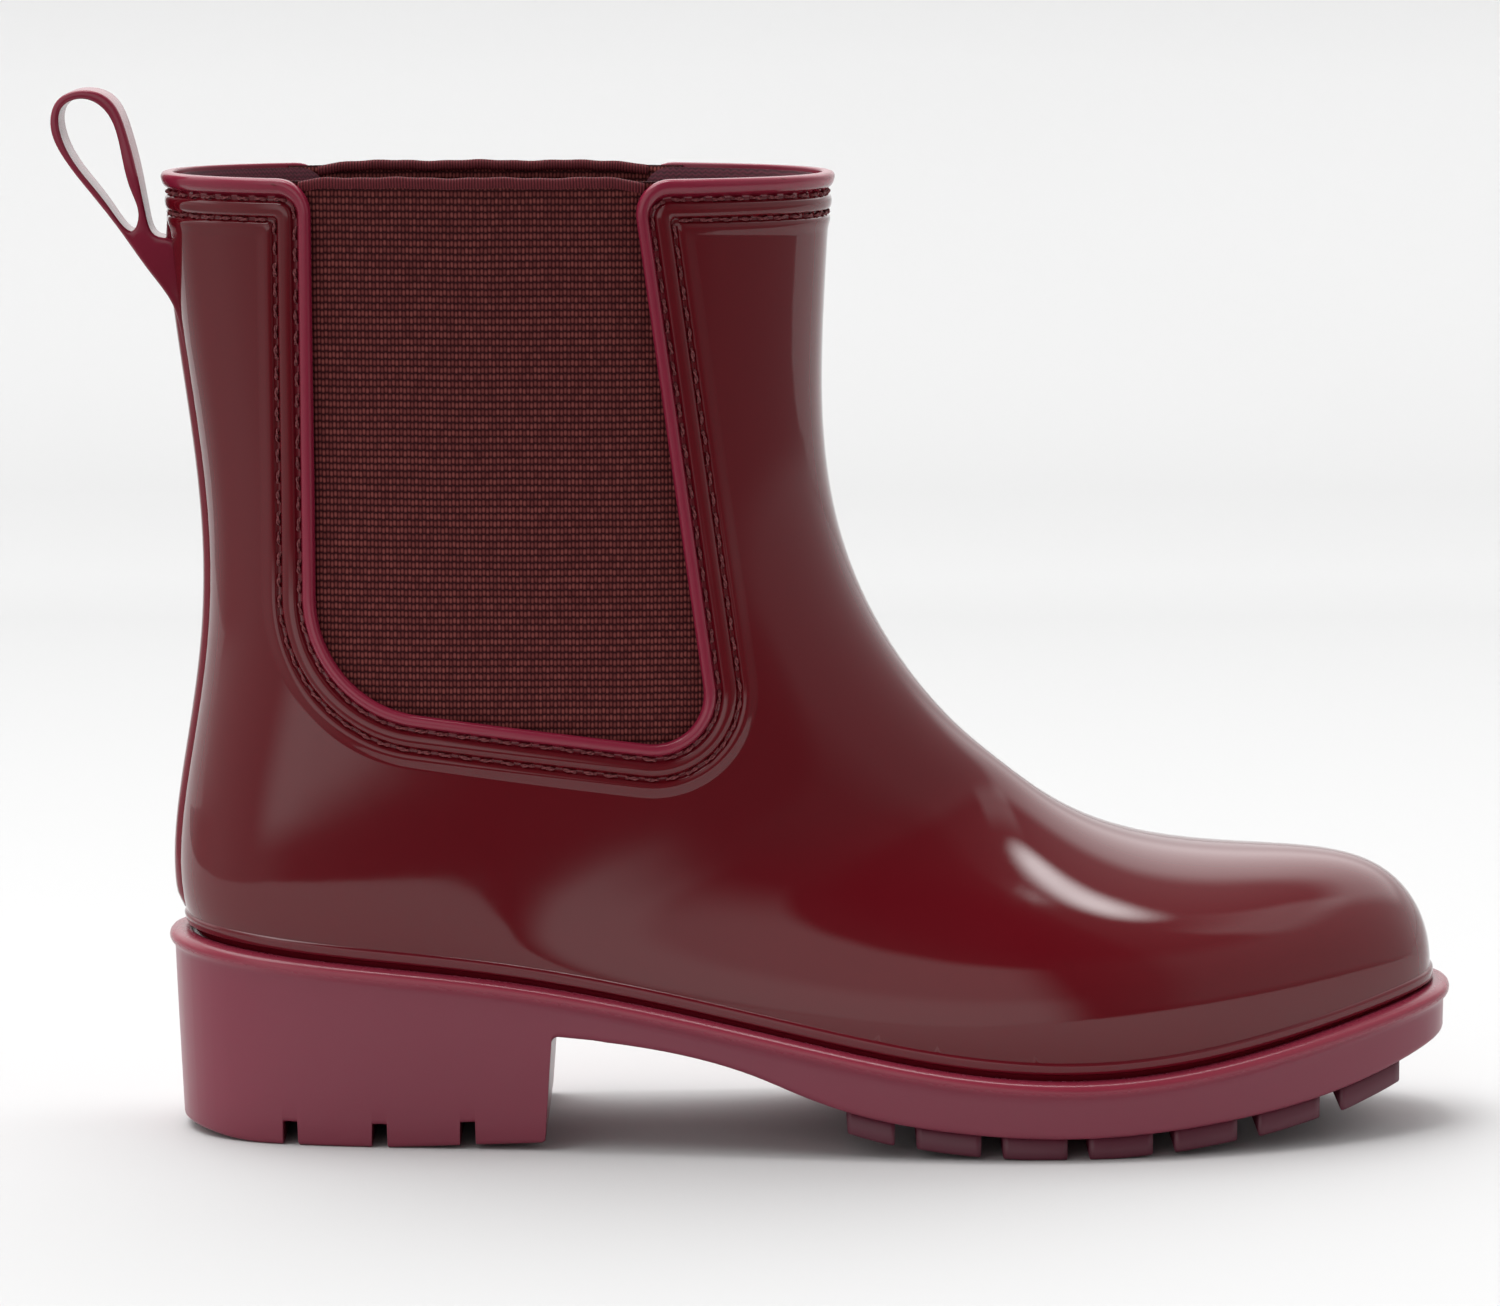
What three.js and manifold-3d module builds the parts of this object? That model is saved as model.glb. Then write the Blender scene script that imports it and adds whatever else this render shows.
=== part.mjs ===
// A right-foot Chelsea rain boot, in millimetres: +X towards the toe, +Y towards the medial side, +Z up.
// A moulded upper with two elastic gussets stands on a heeled, lugged outsole.
// A pull loop flexes at its root.
import * as THREE from "three";
import { mergeVertices } from "three/addons/utils/BufferGeometryUtils.js";
import Module from "manifold-3d";

const wasm = await Module();
wasm.setup();

// ---------- driving dimensions ----------
const COLLAR_Z = 205; // top of the shaft
const WALL = 2.0; // moulded upper
const GAP = 0.3; // between pieces that touch
const ELASTIC = 1.3; // gusset webbing
const LINING = 1.0; // textile lining
const LEDGE_OUT = 4; // how far the sole's ledge stands out from the upper
const LEDGE_THICK = 3.2;
const SOLE_THICK = 12.2; // ledge top to the foot of the side wall
const WALL_IN = 1.2; // side wall behind the ledge's rim
// the front of the heel's foot rises a little
const HEEL = { breastTop: -40.5, breastFoot: -43.5, flatTo: -76, rise: 1.6, taper: 1.2 };
const LUG = { from: 20.5, firstGap: 30.4, pitch: 18.1, gap: 4.6, count: 7, inset: 3.2, depth: 5 };
const HEEL_GROOVE = { width: 3.3, depth: 5, at: [-97.9, -78.6, -59.8] };
const BOARD = { inset: 4.6, thick: 1.6 };
const FOOTBED = { foam: 4.0, cover: 0.9 };
const SHANK = { from: -72, to: 26, width: 13, thick: 1.6 };
const CORE = { from: -108, to: -56, width: 34, floor: 9 };
const STRIP = { width: 9, proud: 1.2, top: 197 };
const LOOP = { width: 14, strap: 2.0, pivot: [-129.1, 190.4], root: 2.3, crotch: 3.4 };
const EDGE = { bead: 1.6, rowA: 4.6, rowB: 8.4, groove: 1.1, margin: 11.5 };
const THREAD_R = 0.45;
const BOBBIN_DEPTH = WALL + ELASTIC + 6 * GAP + THREAD_R;
const FINE = { along: 28, around: 9 }; // facets of the upper

// ---------- curves ----------
const v2 = (p) => new THREE.Vector2(p[0], p[1]);
const spline2 = (points) => new THREE.SplineCurve(points.map(v2));

/** The height of a side-view line, given as [x, z] points with x rising, at x. */
function heightOf(points) {
  const curve = spline2(points);
  const samples = curve.getPoints(200);
  return (x) => {
    const i = samples.findIndex((p) => p.x >= x);
    if (i <= 0) return i === 0 ? samples[0].y : samples.at(-1).y;
    const a = samples[i - 1];
    const b = samples[i];
    return a.y + ((b.y - a.y) * (x - a.x)) / (b.x - a.x);
  };
}

// Top of the sole's ledge, seen from the side: high at the heel, low at the ball, rising at the toe.
const LEDGE_LINE = [
  [-126, 43.4],
  [-95, 39.9],
  [-55, 36.2],
  [-22, 31],
  [10, 24.4],
  [42, 18.6],
  [70, 16.8],
  [98, 19.2],
  [128, 25.3],
  [153, 31],
];
const ledgeZ = heightOf(LEDGE_LINE);

// ---------- the upper's surface ----------
// A closed section runs from the instep line (top) round the side to the back or bottom line (bottom).
// Each form gives five control points between them: [share of the way down, share of the half-width].
const FORM = {
  shaft: [[0, 0.42], [0.14, 0.94], [0.5, 1.06], [0.86, 0.94], [1, 0.42]],
  heel: [[0, 0.42], [0.16, 0.87], [0.5, 1.06], [0.86, 1.04], [1, 0.6]],
  waist: [[0, 0.4], [0.2, 0.8], [0.5, 1.04], [0.82, 1.04], [1, 0.86]],
  ball: [[0, 0.38], [0.18, 0.82], [0.46, 1.06], [0.84, 1.03], [1, 0.9]],
};
// Stations down the boot: top and bottom as [x, z], y of the ridge and of the base, half-width, form.
const STATIONS = [
  [[17.3, COLLAR_Z], [-124.4, COLLAR_Z], 0, 0, 35, FORM.shaft],
  [[15.8, 177], [-121.6, 177], 0, 0, 34.2, FORM.shaft],
  [[14.8, 153], [-117.8, 151], 0, 0, 33.2, FORM.shaft],
  [[17.6, 132], [-115.6, 127], 0, 0, 32.6, FORM.shaft],
  [[24.7, 113.2], [-116, 104], 0, 0, 32.2, FORM.shaft],
  [[33.5, 99.4], [-119.1, 83], 0.5, 0, 31.8, FORM.heel],
  [[41, 89.9], [-121.7, 62], 1, 0, 31.2, FORM.heel],
  [[46, 84.8], [-121.2, 41], 1.3, 0, 30.8, FORM.heel],
  [[50, 81.2], [-108, 30.5], 1.6, -0.5, 30.6, FORM.heel],
  [[54, 78], [-82, 28], 1.8, -1, 30.6, FORM.waist],
  [[58.5, 74.6], [-52, 25.5], 2, -2, 31, FORM.waist],
  [[63.5, 71], [-20, 21], 2.2, -3, 33.2, FORM.waist],
  [[70, 67.4], [10, 14.5], 2.6, -3.2, 37.2, FORM.waist],
  [[78, 64], [38, 10], 3.2, -2.2, 41.6, FORM.ball],
  [[88, 61.3], [62, 8.6], 4, 0, 43.6, FORM.ball],
  [[100, 59.6], [85, 9.6], 5, 2.2, 42, FORM.ball],
  [[113, 58.8], [105, 12.6], 6, 4, 36.6, FORM.ball],
  [[125, 57.8], [121, 16.2], 7, 5.8, 30.4, FORM.ball],
  [[135, 55.2], [133, 19.4], 7.8, 7.2, 23.2, FORM.ball],
  [[142.4, 49.8], [141, 22.2], 8.2, 8.2, 16.6, FORM.ball],
  [[146.5, 40], [145.6, 25], 8.5, 8.5, 9.4, FORM.ball],
  [[147.3, 30], [147.3, 30], 8.5, 8.5, 0, FORM.ball],
];
const TOE_END = STATIONS.length - 1;

/** One side's seven control points at a station; side is -1 lateral, 1 medial. */
function controls([top, bottom, ridgeY, baseY, half, form], side) {
  const at = (share, width) =>
    new THREE.Vector3(
      top[0] + (bottom[0] - top[0]) * share,
      ridgeY + (baseY - ridgeY) * Math.min(1, share * 2) + side * width * half,
      top[1] + (bottom[1] - top[1]) * share,
    );
  return [at(0, 0), ...form.map(([share, width]) => at(share, width)), at(1, 0)];
}
const columns = (side) => {
  const net = STATIONS.map((station) => controls(station, side));
  return net[0].map((_, j) => {
    const line = net.map((row) => row[j]);
    return new THREE.CatmullRomCurve3(line, false, "catmullrom", 0.5);
  });
};
const NET = { [-1]: columns(-1), [1]: columns(1) };
const KNOTS = [0, 0, 0, 0, 0.25, 0.5, 0.75, 1, 1, 1, 1];

/** Cubic B-spline weights of the seven control points at v. */
function weights(v) {
  const u = Math.min(v, 1 - 1e-9);
  let n = KNOTS.slice(0, -1).map((k, i) => (u >= k && u < KNOTS[i + 1] ? 1 : 0));
  for (let d = 1; d <= 3; d++)
    n = n.slice(0, -1).map((w, i) => {
      const left = KNOTS[i + d] - KNOTS[i];
      const right = KNOTS[i + d + 1] - KNOTS[i + 1];
      const rising = left ? (w * (u - KNOTS[i])) / left : 0;
      const falling = right ? (n[i + 1] * (KNOTS[i + d + 1] - u)) / right : 0;
      return rising + falling;
    });
  return n;
}

/**
 * A point of the outer surface: s runs from the collar (0) to the toe (1), and v from the instep (0) round
 * to the back or sole (1).
 */
function surface(s, v, side) {
  const w = weights(v);
  const p = new THREE.Vector3();
  NET[side].forEach((column, j) => p.addScaledVector(column.getPoint(s), w[j]));
  return p;
}

/** The outward unit normal there. */
function normal(s, v, side) {
  const h = 1e-3;
  const s0 = Math.max(0, s - h);
  const s1 = Math.min(1 - h, s + h);
  const v0 = Math.max(h / 2, v - h);
  const v1 = Math.min(1 - h / 2, v + h);
  const along = surface(Math.max(s1, s0 + h), v, side).sub(surface(s0, v, side));
  const around = surface(s, v1, side).sub(surface(s, v0, side));
  const n = along.cross(around).multiplyScalar(side).normalize();
  if (v === 0 || v === 1) n.setY(0).normalize();
  return n;
}

/** The surface moved inwards by depth. The toe's end is a single point, so it moves straight back. */
function inset(s, v, side, depth) {
  if (s > 1 - 1e-6) return surface(1, 0, side).add(new THREE.Vector3(-depth, 0, 0));
  return surface(s, v, side).addScaledVector(normal(s, v, side), -depth);
}

/** Where the surface, moved inwards by depth, has the side-view place (x, z). */
function wallPoint(x, z, side, depth = 0) {
  let s = (0.24 * (COLLAR_Z - z)) / 110;
  let v = 0.5;
  const h = 1e-3;
  for (let i = 0; i < 12; i++) {
    const p = inset(s, v, side, depth);
    const ps = inset(Math.max(0, s) + h, v, side, depth).sub(p).divideScalar(h);
    const pv = inset(s, v + h, side, depth).sub(p).divideScalar(h);
    const det = ps.x * pv.z - ps.z * pv.x;
    const dx = x - p.x;
    const dz = z - p.z;
    s = THREE.MathUtils.clamp(s + (dx * pv.z - dz * pv.x) / det, 0, 0.9);
    v = THREE.MathUtils.clamp(v + (dz * ps.x - dx * ps.z) / det, 0.01, 0.99);
  }
  return inset(s, v, side, depth);
}

/** Where the back line comes down to the ledge, as s. */
function seamStart() {
  let above = 5 / TOE_END;
  let below = 8 / TOE_END;
  for (let k = 0; k < 24; k++) {
    const s = (above + below) / 2;
    const p = surface(s, 1, 1);
    if (p.z > ledgeZ(p.x)) above = s;
    else below = s;
  }
  return below;
}
const SEAM_START = seamStart();

/** Where the upper meets the sole, from the heel's back to the toe on one side. */
function seam(side, steps) {
  const points = [];
  for (let i = 0; i <= steps; i++) {
    const s = SEAM_START + ((1 - SEAM_START) * i) / steps;
    let low = 0.3;
    let high = 1;
    for (let k = 0; k < 24; k++) {
      const v = (low + high) / 2;
      const p = surface(s, v, side);
      if (p.z > ledgeZ(p.x)) low = v;
      else high = v;
    }
    points.push(surface(s, low, side).setZ(0));
  }
  return points;
}

/** The seam's outline in plan, evened out and grown outwards by grow. */
function footOutline(grow, count) {
  const loop = [...seam(-1, 30), ...seam(1, 30).toReversed().slice(1, -1)];
  const curve = new THREE.CatmullRomCurve3(loop, true, "centripetal");
  curve.arcLengthDivisions = 600;
  const points = [];
  for (let i = 0; i < count; i++) {
    const p = curve.getPointAt(i / count);
    const t = curve.getTangentAt(i / count);
    points.push(new THREE.Vector2(p.x + t.y * grow, p.y - t.x * grow));
  }
  return points;
}

// ---------- solids ----------
/** A closed solid from a mesh whose vertices are made to be shared. */
function solidOf(geometry) {
  const bare = new THREE.BufferGeometry().setAttribute("position", geometry.getAttribute("position"));
  if (geometry.index) bare.setIndex(geometry.index);
  const merged = mergeVertices(bare, 1e-4);
  const index = merged.index.array;
  const kept = [];
  for (let i = 0; i < index.length; i += 3) {
    const [a, b, c] = [index[i], index[i + 1], index[i + 2]];
    if (a !== b && b !== c && a !== c) kept.push(a, b, c);
  }
  const vertProperties = merged.attributes.position.array;
  return new wasm.Manifold(new wasm.Mesh({ numProp: 3, vertProperties, triVerts: new Uint32Array(kept) }));
}

/** A skin over rings of points, each joined to the next, with a fan over each end unless it is a loop. */
function skin(rings, loop = false) {
  const size = rings[0].length;
  const positions = rings.flat().flatMap((p) => [p.x, p.y, p.z]);
  const index = [];
  const last = loop ? rings.length : rings.length - 1;
  for (let i = 0; i < last; i++)
    for (let j = 0; j < size; j++) {
      const a = i * size + j;
      const b = i * size + ((j + 1) % size);
      const c = ((i + 1) % rings.length) * size + j;
      const d = ((i + 1) % rings.length) * size + ((j + 1) % size);
      index.push(a, b, c, b, d, c);
    }
  if (!loop)
    for (let j = 1; j < size - 1; j++) {
      const end = (rings.length - 1) * size;
      index.push(0, j + 1, j, end, end + j, end + j + 1);
    }
  const geometry = new THREE.BufferGeometry();
  geometry.setAttribute("position", new THREE.Float32BufferAttribute(positions, 3));
  geometry.setIndex(index);
  return geometry;
}

/** A solid skin, turned inside out if its rings ran the other way. */
function skinSolid(rings, loop) {
  const made = solidOf(skin(rings, loop));
  return made.volume() > 0 ? made : solidOf(skin(rings.map((ring) => ring.toReversed()), loop));
}

/** An extruded outline: in plan between two heights, or in side view between two y values. */
function prism(points, from, to, sideView = false) {
  const geometry = new THREE.ExtrudeGeometry(new THREE.Shape(points), {
    depth: to - from,
    bevelEnabled: false,
    curveSegments: 8,
  });
  if (sideView) geometry.applyMatrix4(new THREE.Matrix4().makeRotationX(Math.PI / 2).setPosition(0, to, 0));
  else geometry.translate(0, 0, from);
  return solidOf(geometry);
}

/** A rounded polygon from corners given as [x, z, radius]. */
function rounded(corners, arcSteps = 5) {
  const n = corners.length;
  return corners.flatMap(([x, z, r], i) => {
    const corner = new THREE.Vector2(x, z);
    if (!r) return [corner];
    const before = v2(corners[(i + n - 1) % n]).sub(corner).normalize();
    const after = v2(corners[(i + 1) % n]).sub(corner).normalize();
    const half = Math.acos(THREE.MathUtils.clamp(before.dot(after), -1, 1)) / 2;
    const centre = before.clone().add(after).normalize().multiplyScalar(r / Math.sin(half)).add(corner);
    const start = corner.clone().addScaledVector(before, r / Math.tan(half)).sub(centre);
    const end = corner.clone().addScaledVector(after, r / Math.tan(half)).sub(centre);
    let turn = end.angle() - start.angle();
    if (turn > Math.PI) turn -= 2 * Math.PI;
    if (turn < -Math.PI) turn += 2 * Math.PI;
    return Array.from({ length: arcSteps + 1 }, (_, k) =>
      start.clone().rotateAround(new THREE.Vector2(), (turn * k) / arcSteps).add(centre),
    );
  });
}

/** The sock-shaped solid inside the surface at a depth. */
function sock(depth) {
  const { along: alongSteps, around: aroundSteps } = FINE;
  const rings = [];
  for (let i = 0; i <= alongSteps; i++) {
    const s = i / alongSteps;
    const ring = [];
    for (let j = 0; j <= aroundSteps; j++) ring.push(inset(s, j / aroundSteps, -1, depth));
    for (let j = aroundSteps - 1; j > 0; j--) ring.push(inset(s, j / aroundSteps, 1, depth));
    rings.push(ring);
  }
  // the collar end runs on upwards, so that a cut at the collar leaves it open
  rings.unshift(rings[0].map((p) => p.clone().setZ(COLLAR_Z + 12)));
  return skinSolid(rings, false);
}

const SIDE_REACH = 90; // past the boot's side

/** A side-view outline carried through the boot from side to side. */
const bothSides = (points) => prism(points, -SIDE_REACH, SIDE_REACH, true);
const sideBlock = (x0, x1, z0, z1) => bothSides([v2([x0, z0]), v2([x1, z0]), v2([x1, z1]), v2([x0, z1])]);

/** Everything between two side-view lines, given as heights at x. */
function slab(lower, upper) {
  const [from, to, steps] = [-160, 180, 34];
  const xs = Array.from({ length: steps + 1 }, (_, i) => from + ((to - from) * i) / steps);
  const under = xs.map((x) => new THREE.Vector2(x, lower(x)));
  const over = xs.toReversed().map((x) => new THREE.Vector2(x, upper(x)));
  return bothSides([...under, ...over]);
}

/** The gusset's opening in side view, grown outwards by grow, flaring into the collar line. */
function gussetOutline(grow) {
  const top = COLLAR_Z + 30;
  const rim = COLLAR_Z + 0.02;
  const { back, front, foot } = gussetEdge(grow);
  return rounded([
    [-150, top, 0],
    [-150, rim, 0],
    [back, rim, 6],
    [back, foot[0], 24 + grow],
    [foot[1], foot[2], 13 + grow],
    [front, rim, 6],
    [50, rim, 0],
    [50, top, 0],
  ]);
}

/** The gusset's edges, moved outwards by grow: upright back, leaning front, and its two lower corners. */
const gussetEdge = (grow) => ({
  back: -91.3 - grow,
  front: -24.6 + grow * 1.01,
  foot: [95.4 - grow * 1.01, -7.7 + grow * 1.25, 84.4 - grow * 1.05],
});

// ---------- pieces ----------
const aboveSole = () => slab((x) => ledgeZ(x) + GAP, () => COLLAR_Z);

/** The closed line at a distance from the gussets' edges and the collar, at a depth in the upper. */
function edgeLoop(away, depth, radius) {
  const top = COLLAR_Z - away;
  const { back, front, foot } = gussetEdge(away);
  const corners = [
    [-112, top, 0],
    [back, top, radius],
    [back, foot[0], 24 + away],
    [foot[1], foot[2], 13 + away],
    [front, top, radius],
    [-2, top, 0],
  ];
  const path = [];
  rounded(corners, 3).forEach((p, i, all) => {
    path.push(p);
    const next = all[i + 1];
    const parts = next ? Math.round(p.distanceTo(next) / 20) : 0;
    for (let k = 1; k < parts; k++) path.push(p.clone().lerp(next, k / parts));
  });
  const onSide = (side) => path.slice(1, -1).map((p) => wallPoint(p.x, p.y, side, depth));
  const collar = away / (COLLAR_Z - 176) / TOE_END;
  const across = (from, to, steps) =>
    Array.from({ length: steps }, (_, i) => from + ((to - from) * (i + 1)) / (steps + 1));
  const atFront = (t) => inset(collar, Math.abs(t), Math.sign(t), depth);
  const atBack = (t) => inset(collar, 1 - Math.abs(t), Math.sign(t), depth);
  const roundFront = across(-0.3, 0.3, 8).map(atFront);
  const roundBack = across(0.22, -0.22, 4).map(atBack);
  return [...onSide(-1), ...roundFront, ...onSide(1).toReversed(), ...roundBack];
}

/** A closed tube round a loop of points. */
function loopTube(points, radius, sides) {
  const n = points.length;
  return skinSolid(
    points.map((p, i) => {
      const along = points[(i + 1) % n].clone().sub(points[(i + n - 1) % n]).normalize();
      const out = new THREE.Vector3(0, Math.sign(p.y) || 1, 0);
      if (Math.abs(p.y) < 22) out.set(p.x > -50 ? 1 : -1, p.y / 30, 0).normalize();
      const up = along.clone().cross(out).normalize();
      const side = up.clone().cross(along).normalize();
      return Array.from({ length: sides }, (_, k) => {
        const a = (2 * Math.PI * k) / sides;
        const spoke = up.clone().multiplyScalar(Math.cos(a)).addScaledVector(side, Math.sin(a));
        return p.clone().addScaledVector(spoke, radius);
      });
    }),
    true,
  );
}

const outer = sock(0);
const wallInner = sock(WALL);

const stitchLine = (away, depth = -0.1) => edgeLoop(away, depth, Math.max(2, 8 - away));

function upperShell() {
  const sleeve = outer.subtract(wallInner).intersect(aboveSole());
  const opened = sleeve.subtract(bothSides(gussetOutline(0)));
  const bead = loopTube(edgeLoop(EDGE.bead, -0.3, 7), EDGE.bead - 0.1, 5);
  const grooves = [EDGE.rowA, EDGE.rowB].map((away) => loopTube(stitchLine(away), EDGE.groove, 4));
  return opened.add(bead).subtract(grooves[0]).subtract(grooves[1]);
}

const between = (outerDepth, innerDepth) => sock(outerDepth).subtract(sock(innerDepth));

function gussets() {
  const depth = WALL + GAP;
  const panel = between(depth, depth + ELASTIC)
    .intersect(slab(() => 60, () => COLLAR_Z - 0.8))
    .intersect(bothSides(gussetOutline(EDGE.margin)));
  const { min, max } = panel.boundingBox();
  return [-1, 1].map((side) => {
    const nearMiddle = -2 * side;
    const beyond = SIDE_REACH * side;
    const half = [
      [min[0], nearMiddle],
      [max[0], nearMiddle],
      [max[0], beyond],
      [min[0], beyond],
    ];
    return panel.intersect(prism(half.map(v2), min[2], max[2]));
  });
}

function lining() {
  const depth = WALL + GAP;
  return between(depth, depth + LINING)
    .intersect(slab((x) => ledgeZ(x) + GAP, () => COLLAR_Z - 3))
    .subtract(bothSides(gussetOutline(EDGE.margin + 0.5)));
}

/** The sole's plan at an inset from the upper's outline, cut between two side-view lines. */
const layer = (grow, lower, upper, count = 56) =>
  prism(footOutline(grow, count), -5, 80).intersect(slab(lower, upper));

function outsole() {
  const top = (x) => ledgeZ(x);
  const wallFoot = (x) => ledgeZ(x) - SOLE_THICK;
  const ledge = layer(LEDGE_OUT, (x) => top(x) - LEDGE_THICK, top);
  const wall = layer(LEDGE_OUT - WALL_IN, wallFoot, (x) => top(x) - LEDGE_THICK / 2);
  const heelSide = [
    [-126, 0],
    [HEEL.flatTo, 0],
    [HEEL.breastFoot, HEEL.rise],
    [HEEL.breastTop, 38],
    [-130, 46],
    [-130, 30],
  ].map(v2);
  const midLedge = (x) => top(x) - LEDGE_THICK / 2;
  const heelLayer = layer(LEDGE_OUT - WALL_IN - HEEL.taper, () => 0, midLedge);
  const heel = heelLayer.intersect(bothSides(heelSide));
  let made = ledge.add(wall).add(heel);
  // a tread layer under the forefoot, cut across into lugs
  const treadFoot = (x) => Math.max(0, wallFoot(x) - LUG.depth);
  const tread = layer(LEDGE_OUT - WALL_IN - LUG.inset, treadFoot, (x) => wallFoot(x) + 1);
  for (let i = 0; i < LUG.count; i++) {
    const to = LUG.firstGap + i * LUG.pitch;
    const from = i === 0 ? LUG.from : to - LUG.pitch + LUG.gap;
    made = made.add(tread.intersect(sideBlock(from, to, -4, 40)));
  }
  const halfGroove = HEEL_GROOVE.width / 2;
  for (const x of HEEL_GROOVE.at)
    made = made.subtract(sideBlock(x - halfGroove, x + halfGroove, -4, HEEL_GROOVE.depth));
  // open hollows for the heel's core and the shank
  const open = (x) => ledgeZ(x) + 5;
  const shankBed = (x) => ledgeZ(x) - SHANK.thick - 2 * GAP;
  return made
    .subtract(channel(CORE.from, CORE.to, CORE.width, () => CORE.floor, open))
    .subtract(channel(SHANK.from - 1, SHANK.to + 1, SHANK.width + 1, shankBed, open));
}

/** A block centred on y = 0 between two x values, of a width, between two side-view lines. */
function channel(from, to, width, lower, upper) {
  const half = width / 2;
  const corner = 3;
  const outline = [
    [from, -half, corner],
    [to, -half, corner],
    [to, half, corner],
    [from, half, corner],
  ];
  return prism(rounded(outline, 3), -5, 80).intersect(slab(lower, upper));
}

const coreTop = (x) => ledgeZ(x) - SHANK.thick - 3 * GAP;
const heelCore = () =>
  channel(CORE.from + GAP, CORE.to - GAP, CORE.width - 2 * GAP, () => CORE.floor + GAP, coreTop);
const shank = () =>
  channel(SHANK.from, SHANK.to, SHANK.width, (x) => ledgeZ(x) - SHANK.thick - GAP, (x) => ledgeZ(x) - GAP);
const insoleLayer = (bottom, thick) =>
  layer(-BOARD.inset, (x) => ledgeZ(x) + bottom, (x) => ledgeZ(x) + bottom + thick, 44).intersect(
    sock(WALL + LINING + 2 * GAP),
  );

const strapSolid = (points, width) => prism(points, -width / 2, width / 2, true);
const roundPeg = (x, z, radius, width) =>
  strapSolid(new THREE.Shape().absarc(x, z, radius, 0, 2 * Math.PI).getPoints(12).slice(0, -1), width);

// The outside of the loop's teardrop in side view, up the front strand, round and down the back strand.
const LOOP_OUTLINE = [
  [-127.3, 192.6],
  [-127.9, 196],
  [-129.5, 204.5],
  [-131.6, 212.9],
  [-134.6, 219.7],
  [-139.7, 222.2],
  [-145.6, 220.7],
  [-147.8, 216],
  [-145.8, 209.1],
  [-141.6, 203.2],
  [-137.4, 197.8],
  [-132, 190.8],
];

/** The strap bent into a teardrop, closed at its foot by the round root that the joint turns on. */
function pullLoop() {
  const [px, pz] = LOOP.pivot;
  const outline = spline2(LOOP_OUTLINE).getPoints(34);
  const hole = outline
    .map((p, i) => {
      const before = outline[Math.max(0, i - 1)];
      const after = outline[Math.min(outline.length - 1, i + 1)];
      const t = after.clone().sub(before).normalize();
      return new THREE.Vector2(p.x - t.y * LOOP.strap, p.y + t.x * LOOP.strap);
    })
    .filter((p) => p.y > pz + LOOP.crotch);
  return strapSolid(outline, LOOP.width)
    .subtract(strapSolid(hole, LOOP.width + 4))
    .add(roundPeg(px, pz, LOOP.root, LOOP.width));
}

/** The moulded rib up the back seam, with the web that carries the loop's root in a round seat. */
function backStrip() {
  const steps = 24;
  const backAt = (i, out) => inset(0.012 + (0.3 * i) / steps, 1, -1, -out);
  const near = [];
  const far = [];
  for (let i = 0; i <= steps; i++) {
    const p = backAt(i, GAP);
    if (p.z < ledgeZ(p.x) + 1.5 || p.z > STRIP.top) continue;
    near.push(new THREE.Vector2(p.x, p.z));
    far.unshift(new THREE.Vector2(backAt(i, GAP + STRIP.proud).x, p.z));
  }
  const rib = strapSolid([...near, ...far], STRIP.width);
  const [px, pz] = LOOP.pivot;
  const web = [
    [-122.6, 190.6],
    [-124.9, 191],
    [-126.8, 191.8],
    [-131, 188.6],
    [-127.2, 183.4],
    [-125.1, 180.6],
    [-122.4, 176.2],
    [-120.9, 169],
    [-119.5, 169],
    [-121.4, 182],
  ].map(v2);
  return rib
    .add(strapSolid(web, LOOP.width - 2))
    .subtract(roundPeg(px, pz, LOOP.root + GAP, LOOP.width + 2))
    .subtract(sock(-GAP));
}

// ---------- assembly ----------
const pvc = new THREE.MeshStandardMaterial({ color: 0x5a141c, roughness: 0.12, metalness: 0 });
const soleRubber = new THREE.MeshStandardMaterial({ color: 0x7a2c40, roughness: 0.4, metalness: 0 });
const elastic = new THREE.MeshStandardMaterial({ color: 0x5c2325, roughness: 0.85, metalness: 0 });
const textile = new THREE.MeshStandardMaterial({ color: 0x3c1620, roughness: 0.95, metalness: 0 });
const foam = new THREE.MeshStandardMaterial({ color: 0x2c2426, roughness: 0.9, metalness: 0 });
const board = new THREE.MeshStandardMaterial({ color: 0xb9a58a, roughness: 0.9, metalness: 0 });
const steel = new THREE.MeshStandardMaterial({ color: 0x9a9a9c, roughness: 0.4, metalness: 1 });
const corePlastic = new THREE.MeshStandardMaterial({ color: 0x8a8a88, roughness: 0.7, metalness: 0 });
const thread = new THREE.MeshStandardMaterial({ color: 0x6a3034, roughness: 0.8, metalness: 0 });

const boot = new THREE.Group();
function piece(name, solid, material) {
  const mesh = solid.getMesh();
  const geometry = new THREE.BufferGeometry();
  const positions = new Float32Array(mesh.numVert * 3);
  for (let i = 0; i < mesh.numVert; i++)
    positions.set(mesh.vertProperties.subarray(i * mesh.numProp, i * mesh.numProp + 3), i * 3);
  geometry.setAttribute("position", new THREE.BufferAttribute(positions, 3));
  geometry.setIndex(new THREE.BufferAttribute(mesh.triVerts, 1));
  const made = new THREE.Mesh(geometry, material);
  made.name = name;
  boot.add(made);
  return made;
}

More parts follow.
